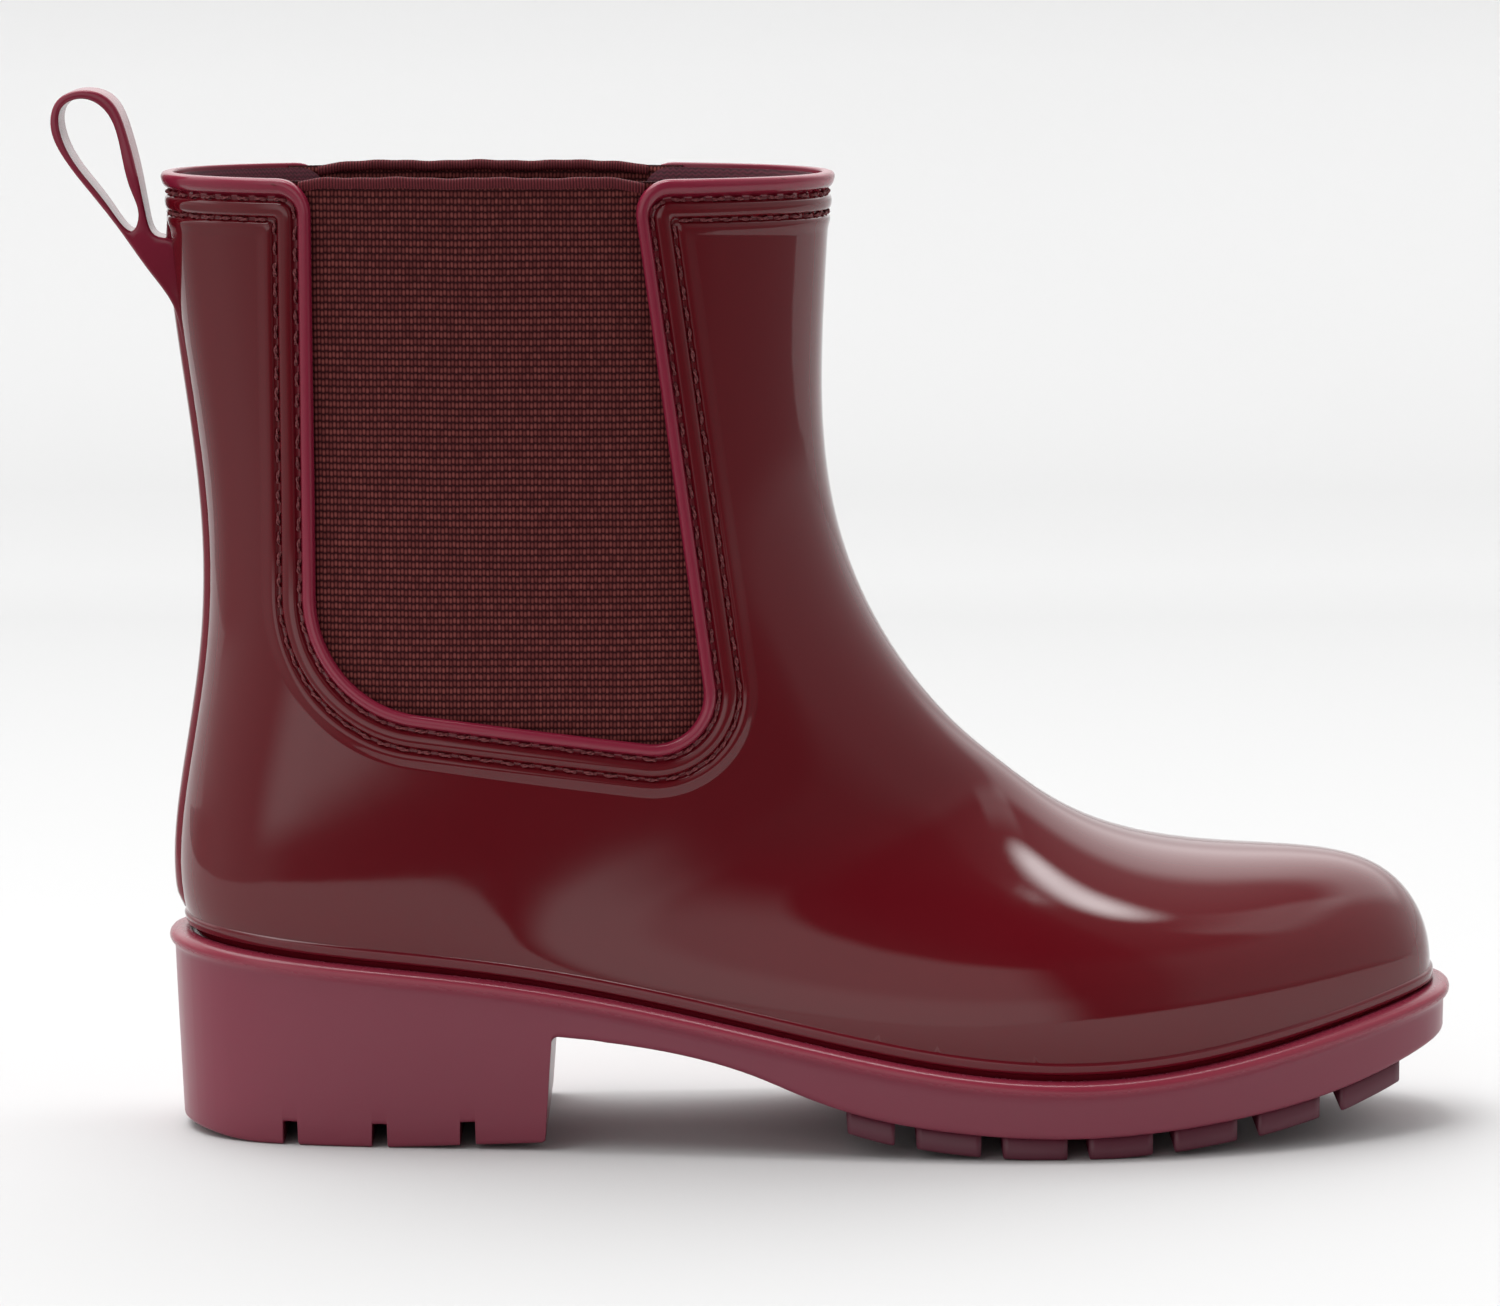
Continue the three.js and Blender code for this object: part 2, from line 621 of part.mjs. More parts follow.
piece("upper_shell", upperShell(), pvc);
const [gussetLateral, gussetMedial] = gussets();
piece("gusset_lateral", gussetLateral, elastic);
piece("gusset_medial", gussetMedial, elastic);
piece("lining", lining(), textile);
piece("outsole", outsole(), soleRubber);
piece("heel_core", heelCore(), corePlastic);
piece("shank", shank(), steel);
piece("insole_board", insoleLayer(GAP, BOARD.thick), board);
piece("footbed_foam", insoleLayer(2 * GAP + BOARD.thick, FOOTBED.foam), foam);
piece("footbed_cover", insoleLayer(3 * GAP + BOARD.thick + FOOTBED.foam, FOOTBED.cover), textile);
piece("back_strip", backStrip(), pvc);
piece("pull_loop", pullLoop(), pvc);
const seamThread = (away, depth) => loopTube(stitchLine(away, depth), THREAD_R, 4);
piece("needle_row_inner", seamThread(EDGE.rowA), thread);
piece("needle_row_outer", seamThread(EDGE.rowB), thread);
piece("bobbin_row_inner", seamThread(EDGE.rowA, BOBBIN_DEPTH), thread);
piece("bobbin_row_outer", seamThread(EDGE.rowB, BOBBIN_DEPTH), thread);

// the origin is the middle of the bounding box's foot
const bounds = new THREE.Box3().setFromObject(boot);
const centre = bounds.getCenter(new THREE.Vector3());
boot.position.set(-centre.x, -centre.y, -bounds.min.z);

export default boot;
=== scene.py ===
import math
import random

import bmesh
import bpy
import numpy as np
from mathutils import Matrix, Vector
from mathutils.geometry import delaunay_2d_cdt


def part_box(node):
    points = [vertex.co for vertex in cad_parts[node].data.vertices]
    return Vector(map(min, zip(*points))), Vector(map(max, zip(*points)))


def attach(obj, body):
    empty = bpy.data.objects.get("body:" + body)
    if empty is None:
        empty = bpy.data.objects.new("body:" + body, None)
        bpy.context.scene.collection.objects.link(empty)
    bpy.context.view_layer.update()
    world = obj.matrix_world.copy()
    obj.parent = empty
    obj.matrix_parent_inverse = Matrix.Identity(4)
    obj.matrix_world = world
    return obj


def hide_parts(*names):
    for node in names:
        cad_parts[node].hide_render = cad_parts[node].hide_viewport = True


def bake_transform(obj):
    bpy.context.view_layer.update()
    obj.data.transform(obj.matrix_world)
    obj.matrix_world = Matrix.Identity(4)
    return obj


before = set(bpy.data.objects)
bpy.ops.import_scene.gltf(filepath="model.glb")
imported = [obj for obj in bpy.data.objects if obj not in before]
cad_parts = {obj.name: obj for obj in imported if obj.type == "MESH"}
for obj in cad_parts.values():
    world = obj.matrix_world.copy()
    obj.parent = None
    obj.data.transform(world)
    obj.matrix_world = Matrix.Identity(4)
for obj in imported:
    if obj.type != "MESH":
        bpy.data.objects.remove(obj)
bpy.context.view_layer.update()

# ---------------------------------------------------------------- frame
# Shapes are worked out in millimetres in the CAD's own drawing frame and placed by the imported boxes.
UPPER_TOE = 147.3
shell_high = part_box("upper_shell")[1]
loop_low, loop_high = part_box("pull_loop")
SHIFT = np.array([shell_high[0] * 1000 - UPPER_TOE, (loop_low[1] + loop_high[1]) * 500, 0.0])
COLLAR_Z = shell_high[2] * 1000
WALL = 1.9
LIP = 4.0  # height of the upper's lower lip above the sole's ledge


def place(points):
    """Drawing millimetres to frame metres."""
    return (np.asarray(points, float) + SHIFT) / 1000


# ---------------------------------------------------------------- curves
class Spline:
    """A natural cubic spline through rows of values at xs."""

    def __init__(self, xs, ys):
        self.xs = np.asarray(xs, float)
        self.ys = np.asarray(ys, float)
        n = len(self.xs)
        h = np.diff(self.xs)
        a = np.zeros((n, n))
        b = np.zeros((n,) + self.ys.shape[1:])
        a[0, 0] = a[-1, -1] = 1
        for i in range(1, n - 1):
            a[i, i - 1 : i + 2] = h[i - 1], 2 * (h[i - 1] + h[i]), h[i]
            rise = (self.ys[i + 1] - self.ys[i]) / h[i] - (self.ys[i] - self.ys[i - 1]) / h[i - 1]
            b[i] = 6 * rise
        self.m = np.linalg.solve(a, b.reshape(n, -1)).reshape(b.shape)

    def __call__(self, x):
        x = np.atleast_1d(np.asarray(x, float))
        i = np.clip(np.searchsorted(self.xs, x, side="right") - 1, 0, len(self.xs) - 2)
        h = self.xs[i + 1] - self.xs[i]
        tail = (slice(None),) + (None,) * (self.ys.ndim - 1)
        a = ((self.xs[i + 1] - x) / h)[tail]
        b = ((x - self.xs[i]) / h)[tail]
        h = h[tail]
        bend = ((a**3 - a) * self.m[i] + (b**3 - b) * self.m[i + 1]) * h * h / 6
        return a * self.ys[i] + b * self.ys[i + 1] + bend


LEDGE = Spline(
    [-126, -95, -55, -22, 10, 42, 70, 98, 128, 153],
    [43.4, 39.9, 36.2, 31, 24.4, 18.6, 16.8, 19.2, 25.3, 31],
)

# ---------------------------------------------------------------- the upper's surface
FORMS = {
    "shaft": [[0, 0.42], [0.14, 0.94], [0.5, 1.06], [0.86, 0.94], [1, 0.42]],
    "heel": [[0, 0.42], [0.16, 0.87], [0.5, 1.06], [0.86, 1.04], [1, 0.6]],
    "waist": [[0, 0.4], [0.2, 0.8], [0.5, 1.04], [0.82, 1.04], [1, 0.86]],
    "ball": [[0, 0.38], [0.18, 0.82], [0.46, 1.06], [0.84, 1.03], [1, 0.9]],
}
# front or top line, back or bottom line, y of each, half-width, form
STATIONS = [
    [(17.3, COLLAR_Z), (-124.4, COLLAR_Z), 0, 0, 35, "shaft"],
    [(15.8, 177), (-121.6, 177), 0, 0, 34.2, "shaft"],
    [(14.8, 153), (-117.8, 151), 0, 0, 33.2, "shaft"],
    [(17.6, 132), (-115.6, 127), 0, 0, 32.6, "shaft"],
    [(24.7, 113.2), (-116, 104), 0, 0, 32.2, "shaft"],
    [(33.5, 99.4), (-119.1, 83), 0.5, 0, 31.8, "heel"],
    [(41, 89.9), (-121.7, 62), 1, 0, 31.2, "heel"],
    [(46, 84.8), (-121.2, 41), 1.3, 0, 30.8, "heel"],
    [(50, 81.2), (-108, 30.5), 1.6, -0.5, 30.6, "heel"],
    [(54, 78), (-82, 28), 1.8, -1, 30.6, "waist"],
    [(58.5, 74.6), (-52, 25.5), 2, -2, 31, "waist"],
    [(63.5, 71), (-20, 21), 2.2, -3, 33.2, "waist"],
    [(70, 67.4), (10, 14.5), 2.6, -3.2, 37.2, "waist"],
    [(78, 64), (38, 10), 3.2, -2.2, 41.6, "ball"],
    [(88, 61.3), (62, 8.6), 4, 0, 43.6, "ball"],
    [(100, 59.6), (85, 9.6), 5, 2.2, 42, "ball"],
    [(113, 58.8), (105, 12.6), 6, 4, 36.6, "ball"],
    [(125, 57.8), (121, 16.2), 7, 5.8, 30.4, "ball"],
    [(135, 55.2), (133, 19.4), 7.8, 7.2, 23.2, "ball"],
    [(142.4, 49.8), (141, 22.2), 8.2, 8.2, 16.6, "ball"],
    [(146.5, 40), (145.6, 25), 8.5, 8.5, 9.4, "ball"],
    [(147.3, 30), (147.3, 30), 8.5, 8.5, 0, "ball"],
]


def control_net(side):
    rows = []
    for top, bottom, ridge, base, half, form in STATIONS:
        shares = [(0, 0), *FORMS[form], (1, 0)]
        row = []
        for share, width in shares:
            y = ridge + (base - ridge) * min(1, share * 2) + side * width * half
            row.append((top[0] + (bottom[0] - top[0]) * share, y, top[1] + (bottom[1] - top[1]) * share))
        rows.append(row)
    return fair(np.array(rows))


def fair(net, stiffness=0.35):
    """Evens out third differences down the boot, so that reflections run smoothly; the ends stay."""
    n = len(net)
    d = np.zeros((n - 3, n))
    for i in range(n - 3):
        d[i, i : i + 4] = -1, 3, -3, 1
    weight = np.ones(n)
    weight[[0, 1, -2, -1]] = 40
    a = np.diag(weight) + stiffness * d.T @ d
    flat = (net * weight[:, None, None]).reshape(n, -1)
    return np.linalg.solve(a, flat).reshape(net.shape)


S_KNOTS = np.linspace(0, 1, len(STATIONS))
COLUMNS = {side: Spline(S_KNOTS, control_net(side)) for side in (-1, 1)}
V_KNOTS = np.array([0, 0, 0, 0, 0.25, 0.5, 0.75, 1, 1, 1, 1])


def basis(v):
    v = np.minimum(v, 1 - 1e-9)[:, None]
    n = ((v >= V_KNOTS[:-1]) & (v < V_KNOTS[1:])).astype(float)
    for d in (1, 2, 3):
        left = V_KNOTS[d:-1] - V_KNOTS[: -d - 1]
        right = V_KNOTS[d + 1 :] - V_KNOTS[1:-d]
        a = np.where(left > 0, (v - V_KNOTS[: -d - 1]) / np.where(left > 0, left, 1), 0)
        b = np.where(right > 0, (V_KNOTS[d + 1 :] - v) / np.where(right > 0, right, 1), 0)
        n = a * n[:, :-1] + b * n[:, 1:]
    return n


def surface(s, u):
    """Points of the outer surface: s from the collar (0) to the toe (1); u from the back (-1) round the lateral
    side to the front or instep (0) and round the medial side to the back again (1)."""
    s, u = np.broadcast_arrays(np.atleast_1d(np.asarray(s, float)), np.atleast_1d(np.asarray(u, float)))
    u = np.where(u > 1, u - 2, np.where(u < -1, u + 2, u))
    out = np.empty((len(s), 3))
    for side in (-1, 1):
        pick = (u < 0) if side < 0 else (u >= 0)
        if pick.any():
            w = basis(np.abs(u[pick]))
            out[pick] = np.einsum("ij,ijk->ik", w, COLUMNS[side](s[pick]))
    return out


def unit(v):
    return v / np.maximum(np.linalg.norm(v, axis=-1, keepdims=True), 1e-12)


def normal(s, u):
    h = 1.5e-3
    s, u = np.broadcast_arrays(np.atleast_1d(np.asarray(s, float)), np.atleast_1d(np.asarray(u, float)))
    s1 = np.minimum(s + h, 1)
    along = surface(s1, u) - surface(s1 - 2 * h, u)
    around = surface(s, u + h * 2) - surface(s, u - h * 2)
    return unit(np.cross(along, around))


def find_side(x, z, side):
    """The (s, u) whose side-view place on one side is (x, z)."""
    gs, gv = np.meshgrid(np.linspace(0, 0.8, 110), np.linspace(0.03, 0.97, 60), indexing="ij")
    gs, gv = gs.ravel(), gv.ravel()
    grid = surface(gs, side * gv)
    s, v = np.empty(len(x)), np.empty(len(x))
    for i in range(len(x)):
        k = np.argmin((grid[:, 0] - x[i]) ** 2 + (grid[:, 2] - z[i]) ** 2)
        s[i], v[i] = gs[k], gv[k]
    e = 1e-4
    for _ in range(8):
        p = surface(s, side * v)
        ps = (surface(s + e, side * v) - p) / e
        pv = (surface(s, side * (v + e)) - p) / e
        det = ps[:, 0] * pv[:, 2] - ps[:, 2] * pv[:, 0]
        dx, dz = x - p[:, 0], z - p[:, 2]
        s = s + (dx * pv[:, 2] - dz * pv[:, 0]) / det
        v = np.clip(v + (dz * ps[:, 0] - dx * ps[:, 2]) / det, 0.01, 0.99)
    return s, side * v


def find_height(z, u):
    """The s at which the shaft has height z."""
    s = np.zeros(len(u))
    for _ in range(8):
        e = 1e-4
        p = surface(s, u)[:, 2]
        s = s + (z - p) * e / (surface(s + e, u)[:, 2] - p)
    return s


# ---------------------------------------------------------------- the border's paths
GUSSET = {"back": -91.7, "front_low": (-7.7, 84.4), "front_top": (-24.6, COLLAR_Z), "foot": (95.4, 84.4)}
FRONT_LEAN = (GUSSET["front_top"][0] - GUSSET["front_low"][0]) / (COLLAR_Z - GUSSET["front_low"][1])
FOOT_SLOPE = (GUSSET["foot"][1] - GUSSET["foot"][0]) / (GUSSET["front_low"][0] - GUSSET["back"])


def border_top(away):
    """Height of the border's line under the collar, where its bead is a little wider."""
    return COLLAR_Z - away - 1.1 * min(1, max(0, (away - 1.6) / 1.2))


def gusset_corners(away):
    """The gusset's edge in side view moved out by away: the collar's end points, then the four corners."""
    top = border_top(away)
    back = GUSSET["back"] - away
    side = away * math.hypot(1, FRONT_LEAN)
    low = away * math.hypot(1, FOOT_SLOPE)

    def front(z):
        return GUSSET["front_low"][0] + side + FRONT_LEAN * (z - GUSSET["front_low"][1])

    def foot(x):
        return GUSSET["foot"][0] - low + FOOT_SLOPE * (x - GUSSET["back"])

    x = GUSSET["front_low"][0]
    for _ in range(20):
        x = front(foot(x))
    corner = max(7.2 - away * 1.1, 1.0)
    return [
        (-110, top, 0),
        (back, top, corner),
        (back, foot(back), 25 + away),
        (x, foot(x), 10.5 + away),
        (front(top), top, corner),
        (-3, top, 0),
    ]


def rounded(corners, lines, arcs):
    """A polyline with rounded corners and fixed point counts, so that offset copies match point for point."""
    points = [np.array(c[:2], float) for c in corners]
    out = []
    start = points[0]
    for i in range(1, len(points)):
        end = points[i]
        if i < len(points) - 1:
            before = unit(points[i - 1] - points[i])
            after = unit(points[i + 1] - points[i])
            half = math.acos(float(np.clip(before @ after, -1, 1))) / 2
            r = corners[i][2]
            end = points[i] + before * r / math.tan(half)
            leave = points[i] + after * r / math.tan(half)
            centre = points[i] + unit(before + after) * r / math.sin(half)
        for k in range(lines[i - 1]):
            out.append(start + (end - start) * k / lines[i - 1])
        if i < len(points) - 1:
            a0 = math.atan2(*(end - centre)[::-1])
            a1 = math.atan2(*(leave - centre)[::-1])
            turn = (a1 - a0 + math.pi) % (2 * math.pi) - math.pi
            for k in range(arcs[i - 1]):
                a = a0 + turn * k / arcs[i - 1]
                out.append(centre + r * np.array([math.cos(a), math.sin(a)]))
            start = leave
    out.append(points[-1])
    return np.array(out)


LINES = (14, 92, 50, 96, 14)
ARCS = (10, 30, 20, 10)


def border_path(away):
    """(s, u) of the closed line at a distance from the elastic's edge and the collar."""
    outline = rounded(gusset_corners(away), LINES, ARCS)
    sl, ul = find_side(outline[:, 0], outline[:, 1], -1)
    sm, um = find_side(outline[:, 0], outline[:, 1], 1)
    top = border_top(away)
    front = np.linspace(ul[-1], um[-1], 74)[1:-1]
    back = np.linspace(um[0], 2 + ul[0], 60)[1:-1]
    sf = find_height(top, front)
    sb = find_height(top, back)
    s = np.concatenate([sl, sf, sm[::-1], sb])
    u = np.concatenate([ul, front, um[::-1], back])
    return s, u


# ---------------------------------------------------------------- meshes
def new_object(name, points, faces, material):
    mesh = bpy.data.meshes.new(name)
    mesh.from_pydata([tuple(p) for p in points], [], [tuple(int(i) for i in f) for f in faces])
    mesh.validate()
    mesh.update()
    mesh.polygons.foreach_set("use_smooth", [True] * len(mesh.polygons))
    mesh.materials.append(material)
    obj = bpy.data.objects.new(name, mesh)
    bpy.context.scene.collection.objects.link(obj)
    return obj


class Soup:
    """Collects points and faces of one piece."""

    def __init__(self):
        self.points = []
        self.faces = []
        self.count = 0

    def add(self, points):
        points = np.asarray(points, float).reshape(-1, 3)
        first = self.count
        self.points.append(points)
        self.count += len(points)
        return np.arange(first, self.count)

    def grid(self, rows, around=False, flip=False):
        """Quads between rows of indices."""
        for a, b in zip(rows, rows[1:]):
            m = len(a)
            for j in range(m if around else m - 1):
                k = (j + 1) % m
                quad = (a[j], b[j], b[k], a[k])
                self.faces.append(quad[::-1] if flip else quad)

    def cap(self, rows):
        """Closes a tube of rows at both ends."""
        self.faces += [list(rows[0]), list(rows[-1])[::-1]]

    def skins(self, outer, inner, faces):
        """The same faces on two skins, turned round on the inner one."""
        for f in faces:
            self.faces.append([outer[k] for k in f])
            self.faces.append([inner[k] for k in f][::-1])

    def all_points(self):
        return np.concatenate(self.points)

    def piece(self, name, material, merge=2e-6):
        """The finished object: doubled points merged, faces with no area dropped, faces turned outwards."""
        obj = new_object(name, place(self.all_points()), self.faces, material)
        bm = bmesh.new()
        bm.from_mesh(obj.data)
        bmesh.ops.remove_doubles(bm, verts=bm.verts, dist=merge)
        bmesh.ops.dissolve_degenerate(bm, dist=merge / 2, edges=bm.edges)
        bmesh.ops.recalc_face_normals(bm, faces=bm.faces)
        bm.to_mesh(obj.data)
        bm.free()
        obj.data.update()
        return obj


def per_vertex(obj, what="co"):
    out = np.empty(len(obj.data.vertices) * 3)
    obj.data.vertices.foreach_get(what, out)
    return out.reshape(-1, 3)


def drawn(obj):
    """The vertices in drawing millimetres."""
    return per_vertex(obj) * 1000 - SHIFT


def matched(obj, places, values, others):
    """For each vertex the value known for its place, or its own one of the others."""

    def key(p):
        return tuple(np.round(p * 2e5).astype(int))

    table = {key(p): v for p, v in zip(places, values)}
    return [table.get(key(p), other) for p, other in zip(per_vertex(obj), others)]


def set_normals(obj, places, normals):
    """Smooth shading from computed normals at known places, and from the mesh elsewhere."""
    found = matched(obj, places, normals, per_vertex(obj, "normal"))
    obj.data.normals_split_custom_set_from_vertices([tuple(n) for n in found])


def set_painted_glow(obj, values):
    """A value per vertex for painted glow: high where the moulding is thin, and there its colour is painted brighter
    for the light that would shine through it.
    """
    attribute = obj.data.attributes.new("painted_glow", "FLOAT", "POINT")
    attribute.data.foreach_set("value", values)


def area_m2(points, faces):
    return sum(0.5 * np.linalg.norm(np.cross(points[b] - points[a], points[c] - points[a])) for a, b, c in faces) * 1e-6


def tangents(points, closed=False):
    if closed:
        return unit(np.roll(points, -1, 0) - np.roll(points, 1, 0))
    return unit(np.gradient(points, axis=0))


def side_normals(line, closed=False):
    """Flat unit normals on the right-hand side of a line's direction."""
    t = tangents(np.column_stack([line, np.zeros(len(line))]), closed)
    return np.column_stack([t[:, 1], -t[:, 0]])


def resample(points, count, closed=True, values=None):
    """Even arc-length samples of a polyline, and of values that go with its points."""
    pts = np.vstack([points, points[:1]]) if closed else points
    d = np.concatenate([[0], np.cumsum(np.linalg.norm(np.diff(pts, axis=0), axis=1))])
    t = np.linspace(0, d[-1], count, endpoint=not closed)
    out = np.stack([np.interp(t, d, pts[:, k]) for k in range(pts.shape[1])], 1)
    if values is None:
        return out
    vals = np.vstack([values, values[:1]]) if closed else values
    return out, np.stack([np.interp(t, d, vals[:, k]) for k in range(vals.shape[1])], 1)


def inside_polygon(points, polygon):
    x, y = points[:, 0], points[:, 1]
    inside = np.zeros(len(points), bool)
    for (a, b), (c, d) in zip(polygon, np.roll(polygon, -1, 0)):
        if b != d:
            inside ^= ((b > y) != (d > y)) & (x < (c - a) * (y - b) / (d - b) + a)
    return inside


def inside_rings(points, rings):
    """Inside the first ring and outside the others."""
    ok = inside_polygon(points, rings[0])
    for ring in rings[1:]:
        ok &= ~inside_polygon(points, ring)
    return ok


def lattice(xs, ys):
    return np.stack(np.meshgrid(xs, ys), -1).reshape(-1, 2)


def clear_of(points, border, gap):
    """Which points stay a gap away from all of the border's."""
    keep = np.ones(len(points), bool)
    for p in border:
        keep &= ((points - p) ** 2).sum(1) > gap**2
    return keep


def fill(rings, inner, scale=1.0):
    """Triangles inside the first ring and outside the others, over the inner points; scale evens out the axes."""
    edges, first = [], 0
    for ring in rings:
        n = len(ring)
        edges += [(first + i, first + (i + 1) % n) for i in range(n)]
        first += n
    every = np.vstack([*rings, inner]) * scale
    verts, _, faces, _, _, _ = delaunay_2d_cdt([Vector(p) for p in every], edges, [], 1, 1e-6)
    flat = np.array([tuple(v) for v in verts]) / scale
    centre = np.array([flat[list(f)].mean(0) for f in faces])
    return flat, [f for f, ok in zip(faces, inside_rings(centre, rings)) if ok]


# ---------------------------------------------------------------- where the upper meets the sole
def lip_line(rise, count=700):
    """(s, u) on the surface at a height above the ledge, from the back round the lateral side, toe and medial."""

    def above(s, u):
        p = surface(s, u)
        return p[:, 2] - LEDGE(p[:, 0]) - rise

    def crossing(u, low, high):
        for _ in range(40):
            mid = (low + high) / 2
            if above(mid, u)[0] > 0:
                low = mid
            else:
                high = mid
        return low

    start = crossing(1.0, 0.1, 0.42)
    end = crossing(0.0, 0.85, 1.0)
    s = cosine_steps(start, end, count)
    loops = []
    for side in (-1, 1):
        low, high = np.zeros(count), np.ones(count)
        for _ in range(40):
            mid = (low + high) / 2
            over = above(s, side * np.maximum(mid, 1e-6)) > 0
            low = np.where(over, mid, low)
            high = np.where(over, high, mid)
        low[0], low[-1] = 1, 0
        loops.append(np.stack([s, side * low], 1))
    return np.vstack([loops[0], loops[1][::-1][1:]])


def cosine_steps(a, b, n):
    """From a to b in steps that are smallest at both ends."""
    return a + (b - a) * ((1 - np.cos(np.linspace(0, math.pi, n))) / 2)


LIP_SU = lip_line(LIP)


def lip_frame(count=620):
    """Even points round the lip with outward (level) and downward directions; the first is the back's middle."""
    points = surface(LIP_SU[:, 0], LIP_SU[:, 1])
    points, su = resample(points[:-1], count, True, LIP_SU[:-1])
    su[0] = LIP_SU[0]
    n = normal(su[:, 0], su[:, 1])
    level = unit(n * [1, 1, 0])
    level[0] = [-1, 0, 0]
    down = unit(np.cross(tangents(points, True), n))
    down *= np.sign(-down[:, 2:3])
    return points, su, n, level, down


def lip_to_lip():
    """The lip as a line in (s, u) from the back (-1) to the back (1)."""
    su = lip_frame()[1]
    su[0] = (LIP_SU[0, 0], -1)
    return np.vstack([su, [(LIP_SU[0, 0], 1)]])


# ---------------------------------------------------------------- the upper
NET_SCALE = np.array([450.0, 150.0])  # millimetres per unit of s and of u, about
S_LENGTH = 430  # from the collar to the toe


def skin_net(away, spacing):
    """Triangles in (s, u) between the border line and the lip; both ends meet at the back."""
    s, u = border_path(away)
    turn = len(u) - np.argmax(u > 1) if (u > 1).any() else 0
    s, u = np.roll(s, turn), np.roll(np.where(u > 1, u - 2, u), turn)
    back_s = find_height(border_top(away), np.array([1.0]))[0]
    upper = np.stack([np.concatenate([[back_s], s, [back_s]]), np.concatenate([[-1], u, [1]])], 1)
    lower = lip_to_lip()
    edge = np.linspace(back_s, lower[0, 0], 60)[1:-1]
    right = np.stack([edge, np.ones_like(edge)], 1)
    left = np.stack([edge[::-1], -np.ones_like(edge)], 1)
    polygon = np.vstack([upper, right, lower[::-1], left])
    inner = []
    for i, at in enumerate(np.arange(back_s, lower[:, 0].max(), spacing / S_LENGTH)):
        probe = surface(np.full(60, at), np.linspace(-1, 1, 60))
        girth = np.linalg.norm(np.diff(probe, axis=0), axis=1).sum()
        n = max(8, int(girth / spacing))
        us = -1 + 2 * (np.arange(n) + 0.5 * (i % 2) + 0.25) / n
        inner.append(np.stack([np.full(n, at), us], 1))
    inner = np.vstack(inner)
    inner = inner[inside_polygon(inner, polygon)]
    keep = clear_of(surface(*inner.T), surface(*polygon.T), spacing * 0.62)
    return fill([polygon], inner[keep], NET_SCALE)


# border profile from the elastic's edge outwards: distance, height above the surface
BORDER = [
    (0.55, -WALL), (0.2, -WALL), (0.02, -1.5), (-0.05, -0.9), (-0.02, -0.3), (0.1, 0.18), (0.35, 0.5), (0.7, 0.7),
    (1.15, 0.76), (1.6, 0.7), (1.98, 0.52), (2.26, 0.24), (2.44, -0.08), (2.54, -0.4), (2.66, -0.62), (2.85, -0.72),
    (3.15, -0.74), (3.45, -0.7), (3.62, -0.56), (3.74, -0.3), (3.9, 0.0), (4.2, 0.26), (4.7, 0.42), (5.3, 0.46),
    (5.9, 0.42), (6.4, 0.28), (6.7, 0.04), (6.86, -0.26), (7.0, -0.48), (7.2, -0.58), (7.45, -0.6), (7.7, -0.56),
    (7.86, -0.42), (8.0, -0.18), (8.18, 0.06), (8.5, 0.26), (9.0, 0.34), (9.7, 0.26), (10.4, 0.12), (11.0, 0.03),
    (11.5, 0.0),
]
LAST = BORDER[-1][0]
BEAD = 1.8  # width of the bead, whose colour is painted brighter as glow
# below the lip: height under it, distance outwards
BAND = [
    (0.1, 0.14), (0.42, 0.48), (0.62, 0.6), (0.85, 0.64), (1.3, 0.64), (1.9, 0.63), (2.4, 0.62), (2.6, 0.52),
    (2.7, 0.25), (2.78, -0.2), (2.95, -0.5), (3.4, -0.6), (4.2, -0.7), (4.8, -0.9), (5.2, -1.1), (5.35, -1.6),
    (5.2, -2.4), (4.0, -2.9), (2.0, -2.9),
]
# a little painted glow on the lip and band below the upper
BAND_GLOW = 0.12


def build_upper(material):
    """Two skins, joined by the border's bead and grooves above and by the lip and band below."""
    soup = Soup()
    su, faces = skin_net(LAST, 2.6)
    outer, out = surface(*su.T), normal(*su.T)
    soup.skins(soup.add(outer), soup.add(outer - out * WALL), faces)
    marked, values = [], []

    def marked_row(points, painted_glow):
        marked.append(points)
        values.append(np.full(len(points), painted_glow))
        return soup.add(points)

    rows = []
    for d, h in BORDER:
        s, u = border_path(d)
        # painted glow: full on the bead, fading over the grooves beyond it
        rows.append(marked_row(surface(s, u) + normal(s, u) * h, math.exp(-max(0, d - BEAD) / 0.7)))
    soup.grid(rows, around=True)
    s, u = border_path(LAST)
    soup.grid([soup.add(surface(s, u) - normal(s, u) * WALL), rows[0]], around=True)
    points, _, n, level, down = lip_frame()
    rows = [soup.add(points)]
    rows += [marked_row(points + down * drop + level * outwards, BAND_GLOW) for drop, outwards in BAND]
    rows.append(soup.add(points - n * WALL))
    soup.grid(rows, around=True)
    obj = soup.piece("upper_skin", material, 4e-6)
    set_normals(obj, place(outer), out)
    plain = np.zeros(len(obj.data.vertices))
    set_painted_glow(obj, matched(obj, place(np.vstack(marked)), np.concatenate(values), plain))
    return obj


# ---------------------------------------------------------------- gussets
ELASTIC_FRONT, ELASTIC_BACK = 2.0, 3.0  # depths of the elastic's faces under the surface


def gusset_net(away, top, side, spacing):
    """Triangles in side view inside the gusset's edge moved out by away, cut off at a height."""
    outline = rounded(gusset_corners(away), LINES, ARCS)
    ring = outline[LINES[0] + ARCS[0] - 1 : len(outline) + 1 - LINES[-1] - ARCS[-1]]
    ring = ring[ring[:, 1] < top - 0.4]
    count = max(8, int((ring[-1, 0] - ring[0, 0]) / spacing))
    t = np.linspace(ring[-1, 0], ring[0, 0], count + 2)
    polygon = np.vstack([ring, np.stack([t, np.full(len(t), top)], 1)])
    low = polygon.min(0) + spacing / 2
    inner = lattice(np.arange(low[0], polygon[:, 0].max(), spacing), np.arange(low[1], top - spacing * 0.4, spacing))
    inner = inner[inside_polygon(inner, polygon)]
    flat, faces = fill([polygon], inner[clear_of(inner, polygon, spacing * 0.55)])
    s, u = find_side(flat[:, 0], flat[:, 1], side)
    return faces, s, u, len(polygon)


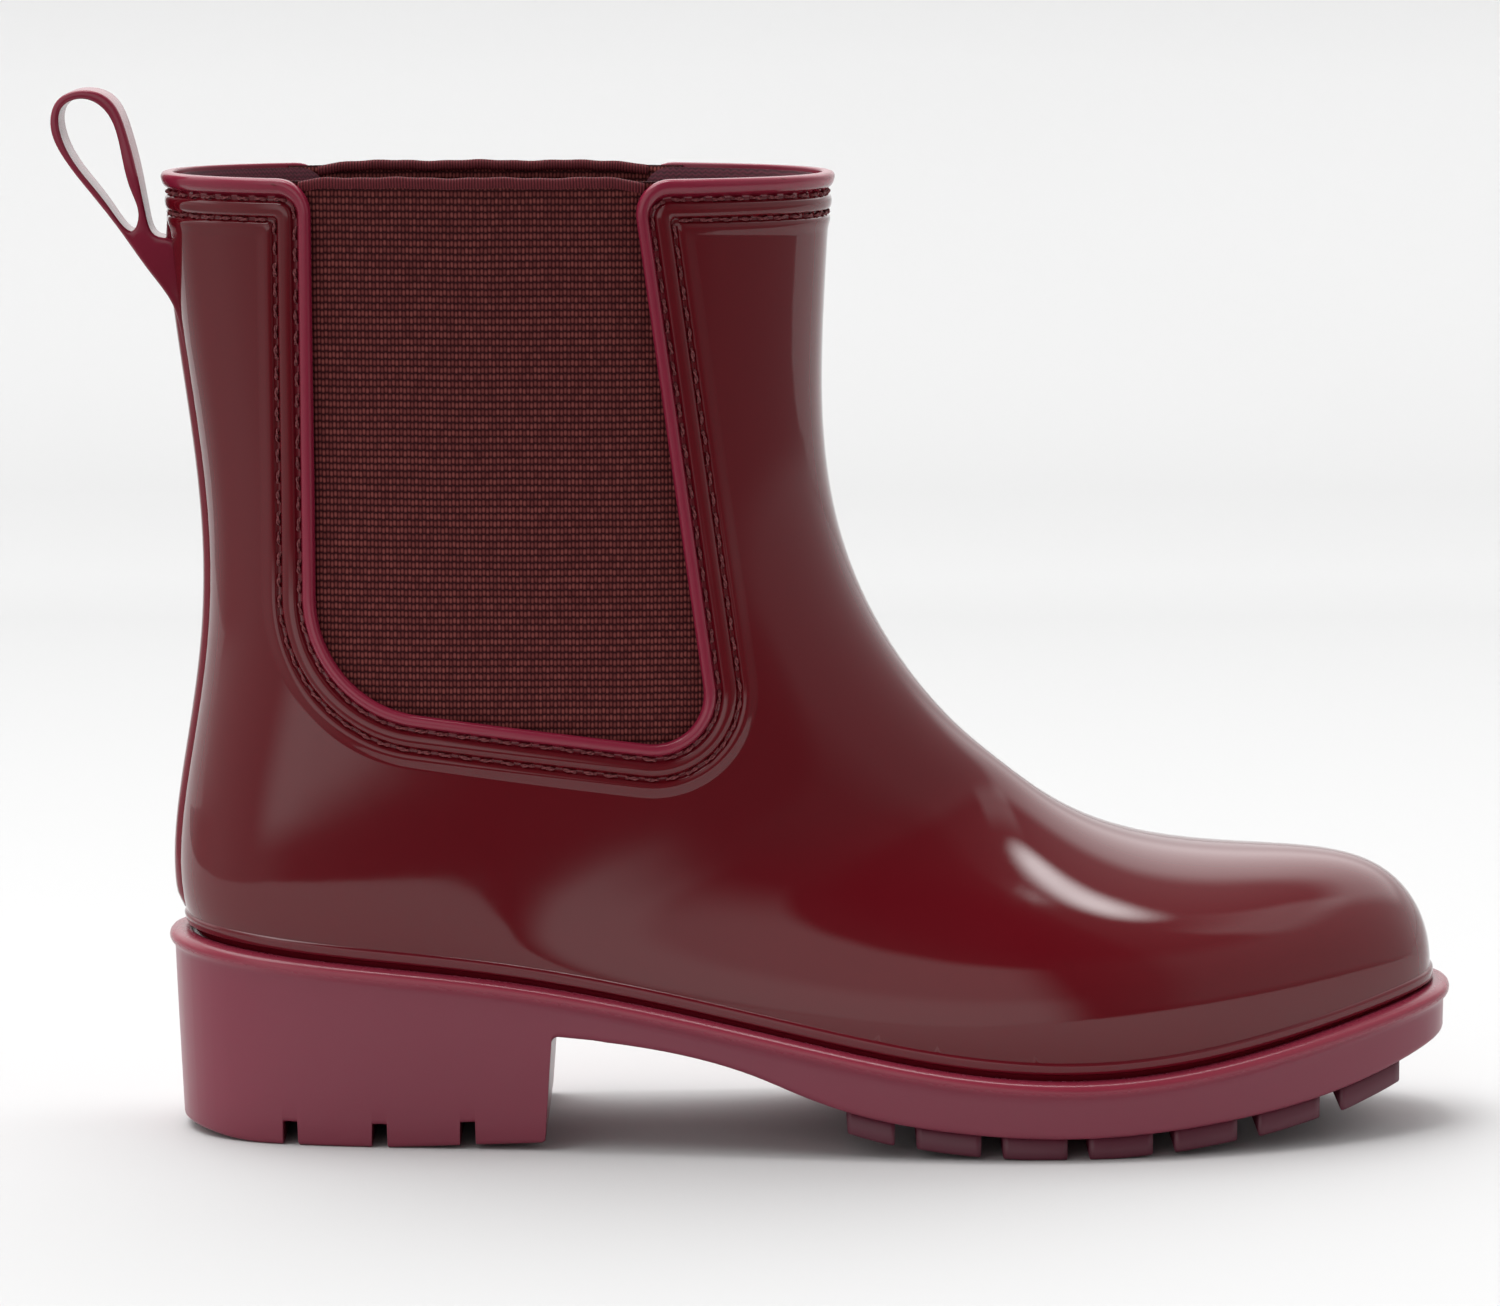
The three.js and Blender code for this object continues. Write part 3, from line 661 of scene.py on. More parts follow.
def build_gusset(name, side, material):
    """The elastic panel, which runs in under the border."""
    faces, s, u, n = gusset_net(8.9, COLLAR_Z - 0.6, side, 2.0)
    p, out = surface(s, u), normal(s, u)
    front = p - out * ELASTIC_FRONT
    soup = Soup()
    a, b = soup.add(front), soup.add(p - out * ELASTIC_BACK)
    soup.skins(a, b, faces)
    for i in range(n):
        j = (i + 1) % n
        soup.faces.append([a[j], a[i], b[i], b[j]])
    obj = soup.piece(name, material)
    set_normals(obj, place(front), out)
    obj["area"] = area_m2(p, faces)
    return obj


# the hem's section: height, distance outwards
HEM = [(-0.95, 0.3), (-0.7, 0.52), (0.2, 0.6), (0.9, 0.5), (1.2, 0.1), (1.25, -0.6), (1.1, -1.2), (0.5, -1.62),
       (-0.3, -1.66), (-0.85, -1.5), (-1.0, -0.5), (-1.02, 0.05)]
HEM_DROP = 1.5  # from the collar to the line that the hem follows


def build_hem(name, side, material):
    """The rolled edge along the elastic's top, a little wavy, with sagging ends."""
    x = np.linspace(-94.5, -21.5, 150)
    s, u = find_side(x, np.full(len(x), COLLAR_Z - HEM_DROP), side)
    p, n = surface(s, u), normal(s, u)
    ends = np.clip(1 - np.minimum(x - x[0], x[-1] - x) / 9, 0, 1)
    wobble = 0.12 * np.sin(x * 0.31 + side) + 0.07 * np.sin(x * 0.83) - 1.1 * ends**2
    soup = Soup()
    rows = []
    for at, out, lift in zip(p - n * ELASTIC_FRONT, n, wobble + 0.6):
        rows.append(soup.add([at + np.array([0, 0, h + lift]) + out * o for h, o in HEM]))
    soup.grid(rows, around=True)
    soup.cap(rows)
    return soup.piece(name, material)


# ---------------------------------------------------------------- stitches
STITCH = {"pitch": 4.4, "length": 3.5, "radius": 0.38}
STITCH_STEPS, STITCH_SIDES = 9, 5


def stitch_row(name, away, level, inward, material, seed):
    """One seam thread: a row of short twisted lockstitches that dip into their holes."""
    r = random.Random(seed)
    s, u = border_path(away)
    n = normal(s, u) * (-1 if inward else 1)
    dense, dn = resample(surface(s, u) + n * level, 3200, True, n)
    dense, dn = np.vstack([dense, dense[:1]]), np.vstack([unit(dn), unit(dn[:1])])
    d = np.concatenate([[0], np.cumsum(np.linalg.norm(np.diff(dense, axis=0), axis=1))])
    count = int(round(d[-1] / STITCH["pitch"]))
    soup = Soup()

    def at(t):
        t = t % d[-1]
        q, m = (np.array([np.interp(t, d, line[:, k]) for k in range(3)]) for line in (dense, dn))
        return q, m / np.linalg.norm(m)

    for i in range(count):
        centre = i * d[-1] / count + r.uniform(-0.12, 0.12)
        skew = r.uniform(-0.22, 0.22)
        twist = r.uniform(0, 6.28)
        fat = STITCH["radius"] * r.uniform(0.92, 1.08)
        lift = r.uniform(-0.04, 0.08)
        path = []
        for k in range(STITCH_STEPS + 1):
            f = k / STITCH_STEPS * 2 - 1
            along = centre + f * STITCH["length"] / 2
            q, m = at(along)
            side = unit(np.cross(m, unit(at(along + 0.2)[0] - q)))
            height = lift + 0.32 * (1 - f * f) - max(0, abs(f) - 0.72) / 0.28
            path.append((q + m * height + side * skew * f, m, side))
        for strand in (0, math.pi):
            rows = []
            for k, (p, m, side) in enumerate(path):
                turn = twist + strand + k / STITCH_STEPS * 6.0
                c = p + (m * math.cos(turn) + side * math.sin(turn)) * fat * 0.5
                slim = fat * 0.62 * (0.55 if k in (0, STITCH_STEPS) else 1.0)
                angles = [2 * math.pi * j / STITCH_SIDES for j in range(STITCH_SIDES)]
                rows.append(soup.add([c + (m * math.cos(a) + side * math.sin(a)) * slim for a in angles]))
            soup.grid(rows, around=True)
            soup.cap(rows)
    return soup.piece(name, material, 1e-7)


# ---------------------------------------------------------------- lining and footbed
LINING_OUTER, LINING_INNER = 3.15, 3.85  # depths of the lining's faces under the upper's surface


def build_lining(material):
    """A jersey sock inside the upper, open at the collar and the lip, with a faint ripple."""
    soup = Soup()
    su, faces = skin_net(1.0, 4.0)
    p, n = surface(*su.T), normal(*su.T)
    ripple = 0.10 * np.sin(su[:, 0] * 90) * np.sin(su[:, 1] * 12 * math.pi)
    outer = p - n * LINING_OUTER
    a, b = soup.add(outer), soup.add(p - n * (LINING_INNER + ripple)[:, None])
    soup.skins(a, b, faces)
    # closes the free edges, but not the back, where both ends of the net meet
    edges = dict.fromkeys((f[i], f[(i + 1) % 3]) for f in faces for i in range(3))
    merged = {}
    for k, q in enumerate(p):
        merged.setdefault(tuple(np.round(q, 3)), k)
    same = [merged[tuple(np.round(q, 3))] for q in p]
    taken = {(same[i], same[j]) for i, j in edges}
    for i, j in edges:
        if (same[j], same[i]) not in taken:
            soup.faces.append([a[j], a[i], b[i], b[j]])
    obj = soup.piece("shaft_lining", material, 4e-6)
    set_normals(obj, place(outer), n)
    obj["area"] = area_m2(p, faces)
    return obj


HEEL_EXTRA = 0.7  # the ledge is a little wider round the heel's back


def plan_sides(grow):
    """The sole's plan moved out by grow, as its lateral and medial lines from the back to the toe."""
    points, _, _, _, down = lip_frame(900)
    plan = (points + down * (LIP / np.maximum(-down[:, 2:3], 0.5)))[:, :2]
    out = side_normals(plan, True)
    if ((plan - plan.mean(0)) * out).sum() < 0:
        out = -out
    heel = np.clip((-88 - plan[:, :1]) / 30, 0, 1)
    plan = plan + out * (grow + HEEL_EXTRA * heel * heel * (3 - 2 * heel))
    back, toe = np.argmin(plan[:, 0]), np.argmax(plan[:, 0])
    plan = np.roll(plan, -back, 0)
    toe = (toe - back) % len(plan)
    one, two = plan[: toe + 1], np.vstack([plan[toe:], plan[:1]])[::-1]
    return (one, two) if one[len(one) // 2, 1] < two[len(two) // 2, 1] else (two, one)


def build_footbed(name, bottom, thick, grow, material, crown=0.0):
    """A layer of the insole stack, cupped a little at its edges."""
    lateral, medial = plan_sides(grow)
    xs = cosine_steps(lateral[0, 0], lateral[-1, 0], 90)
    f = np.linspace(0, 1, 15)
    soup = Soup()
    tops, unders = [], []
    for x, yl, ym in zip(xs, np.interp(xs, *lateral.T), np.interp(xs, *medial.T)):
        row = np.stack([np.full(len(f), x), yl + (ym - yl) * f, np.full(len(f), LEDGE(x)[0] + bottom)], 1)
        cup = (crown * np.abs(2 * f - 1) ** 4 * min(1, (ym - yl) / 40))[:, None] * [0, 0, 1]
        tops.append(soup.add(row + [0, 0, thick] + cup))
        unders.append(soup.add(row + cup * 0.5))
    soup.grid(tops)
    soup.grid(unders, flip=True)
    high, low = ([r[0] for r in rows] + [r[-1] for r in rows[::-1]] for rows in (tops, unders))
    for i in range(len(high)):
        j = (i + 1) % len(high)
        soup.faces.append([high[i], low[i], low[j], high[j]])
    obj = soup.piece(name, material)
    bevel = obj.modifiers.new("edge", "BEVEL")
    bevel.width = 0.0004
    bevel.segments = 2
    bevel.limit_method = "ANGLE"
    bevel.angle_limit = math.radians(50)
    return obj


# ---------------------------------------------------------------- outsole
HEEL_FOOT, HEEL_TOP = -43.4, -41.8  # x of the heel's front edge, at the ground and at the waist
HEEL_RISE = 1.6  # the heel's front edge stands this far off the ground
HEEL_FLAT = -76  # from here back the heel is flat
# under-edge of the side wall ahead of the heel
WALL_FOOT = Spline(*zip(
    (-36, 24.1), (-23, 22.6), (-10, 20.2), (2, 16.6), (10, 13.4), (19, 10.3), (31.5, 7.5), (44, 5.9), (61, 4.8),
    (73.5, 4.8), (86, 5.5), (103, 7.3), (119.6, 10.1), (132, 13.3), (141, 16.3), (152, 20.4),
))
GROOVES = (-97.9, -78.6, -59.8)
GROOVE_DEPTH = 5.0
# outwards from the wall, height from the ledge; the crevice under the upper comes first
RIM = [
    (-8.5, -0.5), (-5.6, -0.5), (-5.4, -1.6), (-3.75, -1.6), (-3.58, -1.2), (-3.46, -0.5), (-3.34, -0.16),
    (-3.1, 0.02), (-2.2, 0.12), (-1.2, 0.1), (-0.3, -0.05), (0.45, -0.35), (0.95, -0.85), (1.2, -1.5),
    (1.15, -2.15), (0.85, -2.75), (0.42, -3.2), (0.12, -3.7), (0.0, -4.4),
]
RIM_FOOT = -RIM[-1][1]
SOLE_GROW = 2.9  # from the upper's lip out to the sole's wall


def under_profile(toe_x):
    """The sole's underside in side view from the back to the toe, as x, z points with rounded corners."""

    def lift(x):
        return HEEL_RISE * max(0.0, (x - HEEL_FLAT) / (HEEL_FOOT - HEEL_FLAT))

    corners = [(-126.0, 2.6, 0), (-112, 0.5, 20), (-106, 0.0, 8)]
    for x in GROOVES:
        for dx, dz in ((-1.7, 0), (-1.6, GROOVE_DEPTH), (1.6, GROOVE_DEPTH), (1.7, 0)):
            corners.append((x + dx, lift(x + dx) + dz, 0.35))
    corners += [(HEEL_FOOT, HEEL_RISE, 1.0), (HEEL_TOP, 24.6, 1.4), (-33, 23.9, 0)]
    heel = rounded(corners, [6] * (len(corners) - 1), [7] * (len(corners) - 2))
    xs = np.linspace(-32, toe_x, 110)[1:]
    return np.vstack([heel, np.column_stack([xs, WALL_FOOT(xs)])])


def wall_columns(x0, x1):
    """Stations from the heel's back to the toe's tip, dense at both ends: x and the under-edge's height."""
    profile = under_profile(x1)
    profile = profile[(profile[:, 0] > x0 + 0.15) & (profile[:, 0] < x1 - 0.05)]
    ends = [x0 + 9 * (1 - np.cos(np.linspace(0, math.pi / 2, 16)))[1:],
            x1 - 9 * (1 - np.cos(np.linspace(0, math.pi / 2, 22)))[1:]]
    xs = np.concatenate([[x0], profile[:, 0], [x1], *ends])
    zs = np.concatenate([profile[:1, 1], profile[:, 1], profile[-1:, 1],
                         np.interp(ends[0], profile[:60, 0], profile[:60, 1]), WALL_FOOT(ends[1])])
    order = np.argsort(xs, kind="stable")
    xs, zs = xs[order], zs[order]
    keep = np.concatenate([[True], np.hypot(np.diff(xs), np.diff(zs)) > 0.05])
    return xs[keep], zs[keep]


def smoothed(rows, reach=6):
    """Moving average of unit rows, so that offsets from a sampled line don't waver."""
    padded = np.vstack([np.repeat(rows[:1], reach, 0), rows, np.repeat(rows[-1:], reach, 0)])
    return unit(sum(padded[k : k + len(rows)] for k in range(2 * reach + 1)))


def build_outsole(material):
    """The sole in one piece: ledge, side wall, heel block with its grooves, waist and forefoot."""
    lateral, medial = plan_sides(SOLE_GROW)
    xs, foot = wall_columns(lateral[0, 0], lateral[-1, 0])
    sides = []
    for line in (lateral, medial):
        out = smoothed(side_normals(line))
        if (out[len(out) // 2, 1] > 0) != (line is medial):
            out = -out
        n = unit(np.column_stack([np.interp(xs, line[:, 0], out[:, k]) for k in (0, 1)]))
        n[0], n[-1] = (-1, 0), (1, 0)
        sides.append((np.interp(xs, *line.T), n))
    for end in (0, -1):
        middle = (sides[0][0][end] + sides[1][0][end]) / 2
        for y, _ in sides:
            y[end] = middle
    ledge = LEDGE(xs)
    start, stop = ledge - RIM_FOOT, foot + 1.0
    taper = 0.5 + 1.1 * np.clip((-30 - xs) / 14, 0, 1)
    soup = Soup()

    def narrowing(z):
        return -taper * ((start - z) / 36.0).clip(0, 1) ** 1.1

    rings = []
    for y, n in sides:
        steps = [(g, ledge + dz) for g, dz in RIM]
        for f in (0.12, 0.3, 0.5, 0.7, 0.88, 1.0):
            z = start + (stop - start) * f
            steps.append((narrowing(z), z))
        for a in (math.radians(d) for d in (25, 50, 70, 90)):
            steps.append((narrowing(stop) - (1 - math.cos(a)), stop - math.sin(a)))
        rings.append([soup.add(np.column_stack([xs + n[:, 0] * g, y + n[:, 1] * g, z])) for g, z in steps])
    soup.grid(rings[0])
    soup.grid(rings[1], flip=True)
    # underside and top, ruled across
    for which, flip in ((-1, False), (0, True)):
        a, b = rings[0][which], rings[1][which]
        pts = soup.all_points()
        between = [soup.add(pts[a] * (1 - f) + pts[b] * f) for f in (0.2, 0.4, 0.6, 0.8)]
        soup.grid([a, *between, b], flip=flip)
    obj = soup.piece("outsole_body", material, 1.2e-5)
    # painted highlight and glow: the rim's rounded top edge is coloured brighter through the glow attribute
    at = drawn(obj)
    set_painted_glow(obj, np.clip(1.0 - np.abs(LEDGE(at[:, 0]) - at[:, 2] - 1.0) / 2.6, 0, 1))
    return obj


LUG_FROM, LUG_GAP_AT, LUG_PITCH, LUG_GAP, LUG_COUNT = 20.5, 30.4, 18.1, 4.6, 7
LUG_DEPTH = 4.9


def build_lugs(material):
    """Bars across the forefoot; their lower edges are rounded."""
    lateral, medial = plan_sides(0.9)
    soup = Soup()
    for i in range(LUG_COUNT):
        x1 = min(LUG_GAP_AT + i * LUG_PITCH, lateral[-1, 0] - 2.0)
        x0 = LUG_FROM if i == 0 else LUG_GAP_AT + (i - 1) * LUG_PITCH + LUG_GAP
        xs = np.linspace(x0, x1, 12)
        one, two = (np.column_stack([xs, np.interp(xs, *line.T)]) for line in (lateral, medial))
        edge = np.vstack([one, two[::-1]])
        centre = edge.mean(0)
        top = WALL_FOOT(edge[:, 0]) + 1.6
        low = np.maximum(WALL_FOOT(edge[:, 0]) - LUG_DEPTH, 0.0)
        rows = []
        for inset, z in ((0, top), (0, low + 0.7), (0.12, low + 0.28), (0.38, low + 0.06), (0.75, low)):
            c = edge - centre
            rows.append(soup.add(np.column_stack([centre + c * (1 - inset / np.abs(c).max(0)), z])))
        soup.grid(rows, around=True)
        n = len(xs)
        for row, flip in ((rows[-1], False), (rows[0], True)):
            for k in range(n - 1):
                quad = [row[k], row[k + 1], row[2 * n - 2 - k], row[2 * n - 1 - k]]
                soup.faces.append(quad if flip else quad[::-1])
    return soup.piece("tread_lugs", material, 1e-7)


# ---------------------------------------------------------------- back strip and pull loop
RIB_TOP, RIB_PROUD, RIB_HALF = 197.0, 1.15, 4.6


def back_line(count, top_z, low_z):
    """Points down the back seam and their outward directions."""
    s = np.linspace(0.0, 0.36, 600)
    z = surface(s, np.ones(600))[:, 2]
    at = np.interp(np.linspace(top_z, low_z, count), z[::-1], s[::-1])
    back = np.ones(count)
    return surface(at, back), unit(normal(at, back) * [1, 0, 1])


def build_back_strip(material):
    """The rib up the back seam, dying into the shell at both ends."""
    points, out = back_line(96, RIB_TOP, LEDGE(-120)[0] + 4.6)
    across = np.linspace(-1, 1, 19)
    sideways = np.array([0, 1, 0]) * (across * RIB_HALF)[:, None]
    sink = 0.030 * (across * RIB_HALF) ** 2
    soup = Soup()
    tops, unders = [], []
    for i, (p, n) in enumerate(zip(points, out)):
        end = min(1.0, (i + 0.2) / 5, (len(points) - 1 - i + 0.8) / 3)
        rise = RIB_PROUD * (1 - np.abs(across) ** 5) * end + 0.1
        tops.append(soup.add(p + n * (rise - sink)[:, None] + sideways))
        unders.append(soup.add(p - n * (0.5 + sink)[:, None] + sideways))
    soup.grid(tops)
    soup.grid(unders, flip=True)
    for i in range(len(tops) - 1):
        soup.faces.append([tops[i][0], unders[i][0], unders[i + 1][0], tops[i + 1][0]])
        soup.faces.append([tops[i][-1], tops[i + 1][-1], unders[i + 1][-1], unders[i][-1]])
    for row, other, flip in ((tops[0], unders[0], False), (tops[-1], unders[-1], True)):
        for k in range(len(row) - 1):
            quad = [row[k], row[k + 1], other[k + 1], other[k]]
            soup.faces.append(quad[::-1] if flip else quad)
    obj = soup.piece("back_rib", material)
    # painted glow: the whole rib is coloured a little brighter than the shell
    set_painted_glow(obj, [0.35] * len(obj.data.vertices))
    return obj


# The loop and its web in side view, as one outline: up the back of the web, round the teardrop, down to the shaft.
LOOP_OUTER = [(-118.3, 158.5), (-120.9, 171.0), (-122.9, 177.4), (-127.3, 183.7), (-133.4, 192.5), (-139.7, 200.8),
              (-145.2, 208.2), (-147.8, 215.0), (-146.3, 220.2), (-141.0, 222.4), (-135.6, 220.8), (-131.9, 214.0),
              (-129.5, 204.5), (-127.8, 195.6), (-125.9, 191.6), (-122.3, 190.6), (-120.7, 187.6), (-119.9, 181.0),
              (-118.9, 174.0), (-117.9, 167.0)]
LOOP_HOLE = [(-130.5, 192.8), (-129.6, 194.8), (-131.0, 201.2), (-133.3, 210.9), (-136.2, 218.0), (-140.8, 220.5),
             (-145.2, 218.8), (-145.6, 213.0), (-141.5, 205.2), (-135.5, 197.4)]
# how the strap's edges are rounded: inset, and depth from the face
LOOP_EDGE = [(0.62, 0.0), (0.34, 0.1), (0.14, 0.28), (0.03, 0.55), (0.0, 0.9)]


def closed_curve(points, count):
    """Even points round a smooth closed curve."""
    ctrl = np.array(points + points[:1])
    t = np.concatenate([[0], np.cumsum(np.linalg.norm(np.diff(ctrl, axis=0), axis=1))])
    wrapped = np.vstack([ctrl[-4:-1], ctrl, ctrl[1:4]])
    times = np.concatenate([t[-4:-1] - t[-1], t, t[1:4] + t[-1]])
    line = Spline(times, wrapped)(np.linspace(0, t[-1], 6 * count))
    return resample(line[:-1], count)


def loop_half_width(z):
    """The strap is widest at its top and narrows into the web."""
    f = np.clip((z - 176) / 32, 0, 1)
    return 4.7 + 2.6 * f * f * (3 - 2 * f)


def build_loop(material):
    """The pull loop and its web, moulded in one, with rounded edges."""
    soup = Soup()
    rings = []
    for line, sign in ((closed_curve(LOOP_OUTER, 200), 1.0), (closed_curve(LOOP_HOLE, 120), -1.0)):
        x, z = line.T
        anticlockwise = np.sum(x * np.roll(z, -1) - np.roll(x, -1) * z) > 0
        out = side_normals(line, True) * (sign if anticlockwise else -sign)
        steps = [(-1, *e) for e in LOOP_EDGE] + [(0, 0.0, 0.0)] + [(1, *e) for e in LOOP_EDGE[::-1]]
        rows = []
        for side, away, depth in steps:
            p = line - out * away
            y = side * (loop_half_width(p[:, 1]) - depth)
            rows.append(soup.add(np.column_stack([p[:, 0], y, p[:, 1]])))
        soup.grid(rows, around=True)
        rings.append(line - out * LOOP_EDGE[0][0])
    inner = lattice(np.arange(-148, -119, 1.1), np.arange(161, 223, 1.1))
    inner = inner[inside_rings(inner, rings)]
    flat, faces = fill(rings, inner[clear_of(inner, np.vstack(rings), 0.5**0.5)])
    for side in (-1, 1):
        at = soup.add(np.column_stack([flat[:, 0], side * loop_half_width(flat[:, 1]), flat[:, 1]]))
        soup.faces += [[at[k] for k in f][:: -side] for f in faces]
    obj = soup.piece("loop_strap", material, 1e-5)
    # painted glow: brighter up the narrow strap than in the solid web below
    set_painted_glow(obj, 0.35 + 0.65 * np.clip((drawn(obj)[:, 2] - 172) / 24, 0, 1))
    return obj


# ---------------------------------------------------------------- materials
def written(operation):
    """The method that writes a math node with two inputs."""
    return lambda self, other: self.graph.math(operation, self, other)


class Wire:
    """A node's output, with arithmetic that adds math nodes."""

    def __init__(self, graph, socket):
        self.graph = graph
        self.socket = socket

    __add__ = written("ADD")
    __sub__ = written("SUBTRACT")
    __mul__ = written("MULTIPLY")
    __truediv__ = written("DIVIDE")
    __mod__ = written("MODULO")
    __pow__ = written("POWER")

    def __rsub__(self, other):
        return self.graph.math("SUBTRACT", other, self)

    def __abs__(self):
        return self.graph.math("ABSOLUTE", self)


class Graph:
    """Short hands for building the node tree of a material or the world."""

    def __init__(self, owner):
        owner.use_nodes = True
        self.owner = owner
        self.tree = owner.node_tree

    def put(self, node, sockets):
        for key, value in sockets.items():
            if isinstance(value, Wire):
                self.tree.links.new(value.socket, node.inputs[key])
            else:
                node.inputs[key].default_value = value

    def node(self, kind, sockets, output=0, **settings):
        n = self.tree.nodes.new("ShaderNode" + kind)
        for key, value in settings.items():
            setattr(n, key, value)
        self.put(n, sockets)
        return Wire(self, n.outputs[output])

    def math(self, operation, *values, clamp=False):
        return self.node("Math", dict(enumerate(values)), operation=operation, use_clamp=clamp)

    def mix(self, factor, a, b):
        return self.node("Mix", {0: factor, 6: a, 7: b}, 2, data_type="RGBA")

    def noise(self, vector, scale, detail=3.0, roughness=0.5):
        sockets = {"Vector": vector, "Scale": scale, "Detail": detail, "Roughness": roughness}
        return self.node("TexNoise", sockets, "Fac")

    def ramp(self, value, stops):
        out = self.node("ValToRGB", {"Fac": value}, "Color")
        ramp = out.socket.node.color_ramp
        while len(ramp.elements) < len(stops):
            ramp.elements.new(0.5)
        for e, (at, colour) in zip(ramp.elements, stops):
            e.position = at
            e.color = (*colour[:3], 1)
        return out

    def coords(self):
        return self.node("TexCoord", {}, "Object")

    def split(self, vector):
        n = self.node("SeparateXYZ", {"Vector": vector}).socket.node
        return [Wire(self, socket) for socket in n.outputs]

    def bump(self, height, strength, distance):
        return self.node("Bump", {"Height": height, "Strength": strength, "Distance": distance}, "Normal")

    def shade(self, sockets):
        self.put(self.tree.nodes["Principled BSDF"], sockets)
        return self.owner


def srgb(r, g, b):
    def lin(c):
        c /= 255
        return c / 12.92 if c <= 0.04045 else ((c + 0.055) / 1.055) ** 2.4

    return (lin(r), lin(g), lin(b), 1.0)


def moulded(name, deep, painted_glow, roughness, glow_roughness, waviness):
    """Glossy moulding: deep colour where it is thick, and a brighter colour where the per-vertex attribute is high,
    which is painted glow standing in for light that comes through thin parts.
    """
    g = Graph(bpy.data.materials.new(name))
    co = g.coords()
    glow_share = g.node("Attribute", {}, "Fac", attribute_name="painted_glow")
    base = g.mix(g.noise(co, 18.0, 2.0) * 0.35, deep, (*(c * 1.35 for c in deep[:3]), 1))
    wave = g.noise(co, 30.0, 2.0, 0.45) + g.noise(co, 900.0, 2.0, 0.6) * 0.012
    fine = g.noise(co, 420.0, 3.0) * 0.05
    return g.shade({
        # painted glow: the brighter colour is mixed into the base colour by the attribute
        "Base Color": g.mix(glow_share, base, painted_glow),
        "Roughness": fine + (roughness - 0.02) + glow_share * (glow_roughness - roughness),
        "IOR": 1.5,
        "Normal": g.bump(wave, 0.35, waviness),
    })


FLOAT_PITCH = (0.00078, 0.00147)  # of the elastic's weave, across and up
RIB_PITCH = 0.00062  # of the hem
KNIT_PITCH = (0.0011, 0.0009)  # of the jersey, around and up


def elastic_material():
    """Webbing: columns of small upright floats, every other one set a little lower; the colour follows each float's
    height, so the gaps between floats are painted dark as shade and the floats' crowns painted light as highlight.
    """
    g = Graph(bpy.data.materials.new("woven_elastic"))
    co = g.coords()
    x, _, z = g.split(co)
    shake = (g.noise(co, 60.0, 2.0) - 0.5) * 0.3
    column = x * (1 / FLOAT_PITCH[0]) + shake
    which = g.math("FLOOR", column)
    row = z * (1 / FLOAT_PITCH[1]) + abs(which) % 2.0 * 0.08 + shake
    across = abs((g.math("FRACT", column) - 0.5) * 2.0) ** 2.0
    up = abs((g.math("FRACT", row) - 0.5) * 2.1) ** 2.6
    height = g.math("SUBTRACT", 1.0, across * 0.85 + up, clamp=True)
    cell = g.node("CombineXYZ", {"X": which, "Y": g.math("FLOOR", row)})
    vary = (g.node("TexWhiteNoise", {"Vector": cell}, "Value") - 0.5) * 0.36
    # painted shade and highlight: tone follows float height, dark in the gaps and light on the crowns, with random
    # variation per float
    tone = height * (vary + 0.75) + g.noise(co, 4200.0, 2.0) * 0.18
    return g.shade({
        "Base Color": g.ramp(tone, [(0.0, srgb(36, 4, 8)), (0.3, srgb(72, 16, 20)), (0.95, srgb(138, 70, 66))]),
        "Roughness": 0.75,
        "Specular IOR Level": 0.18,
        "Normal": g.bump(height, 0.9, 0.00035),
    })


def hem_material():
    """Fine upright ribs, coloured by the same wave: painted shade between the ribs and painted light on their crowns.
    """
    g = Graph(bpy.data.materials.new("elastic_hem"))
    co = g.coords()
    wave = g.math("SINE", g.split(co)[0] * (2 * math.pi / RIB_PITCH) + g.noise(co, 200.0, 2.0) * 5.0)
    rib = g.math("MULTIPLY_ADD", wave, 0.5, 0.5)
    # painted shade: the colour darkens between the ribs, with some random tone on top
    tone = rib * 0.6 + g.noise(co, 3000.0, 2.0) * 0.4
    return g.shade({
        "Base Color": g.ramp(tone, [(0.1, srgb(56, 12, 18)), (0.9, srgb(128, 46, 54))]),
        "Roughness": 0.7,
        "Specular IOR Level": 0.25,
        "Normal": g.bump(rib, 0.8, 0.00025),
    })


def jersey_material():
    """Knitted lining: rows of small V-shaped loops with a light nap; the colour is darker between the rows of loops as
    painted shade, and varies at random with the nap.
    """
    g = Graph(bpy.data.materials.new("jersey_lining"))
    co = g.coords()
    x, y, z = g.split(co)
    zigzag = g.math("PINGPONG", (x + y * 0.73) * (1 / KNIT_PITCH[0]), 0.5)
    row = g.math("SINE", (z * (1 / KNIT_PITCH[1]) + zigzag) * (2 * math.pi))
    nap = g.noise(co, 1500.0, 4.0, 0.7) * 0.8
    # painted shade along the knit rows, and random tone from the nap
    tone = g.math("ADD", g.math("MULTIPLY_ADD", row, 0.2, 0.2), nap, clamp=True)
    return g.shade({
        "Base Color": g.ramp(tone, [(0.2, srgb(40, 8, 18)), (0.9, srgb(92, 26, 44))]),
        "Roughness": 0.9,
        "Sheen Weight": 0.05,
        "Normal": g.bump(tone, 0.6, 0.0002),
    })


def grained(name, low, high, grain, strength, depth, others):
    """Two tones in a fine grain."""
    g = Graph(bpy.data.materials.new(name))
    tone = g.noise(g.coords(), grain, 3.0)
    colour = g.ramp(tone, [(0.3, low), (0.7, high)])
    return g.shade({"Base Color": colour, "Normal": g.bump(tone, strength, depth), **others})


def thread(name, low, high):
    return grained(name, low, high, 2600.0, 0.5, 0.00008, {"Roughness": 0.55, "Specular IOR Level": 0.3})


def plain(name, colour, roughness, grain, depth=0.0001, metallic=0.0):
    dark = [c * 0.75 for c in colour]
    return grained(name, dark, colour, grain, 0.4, depth, {"Roughness": roughness, "Metallic": metallic})


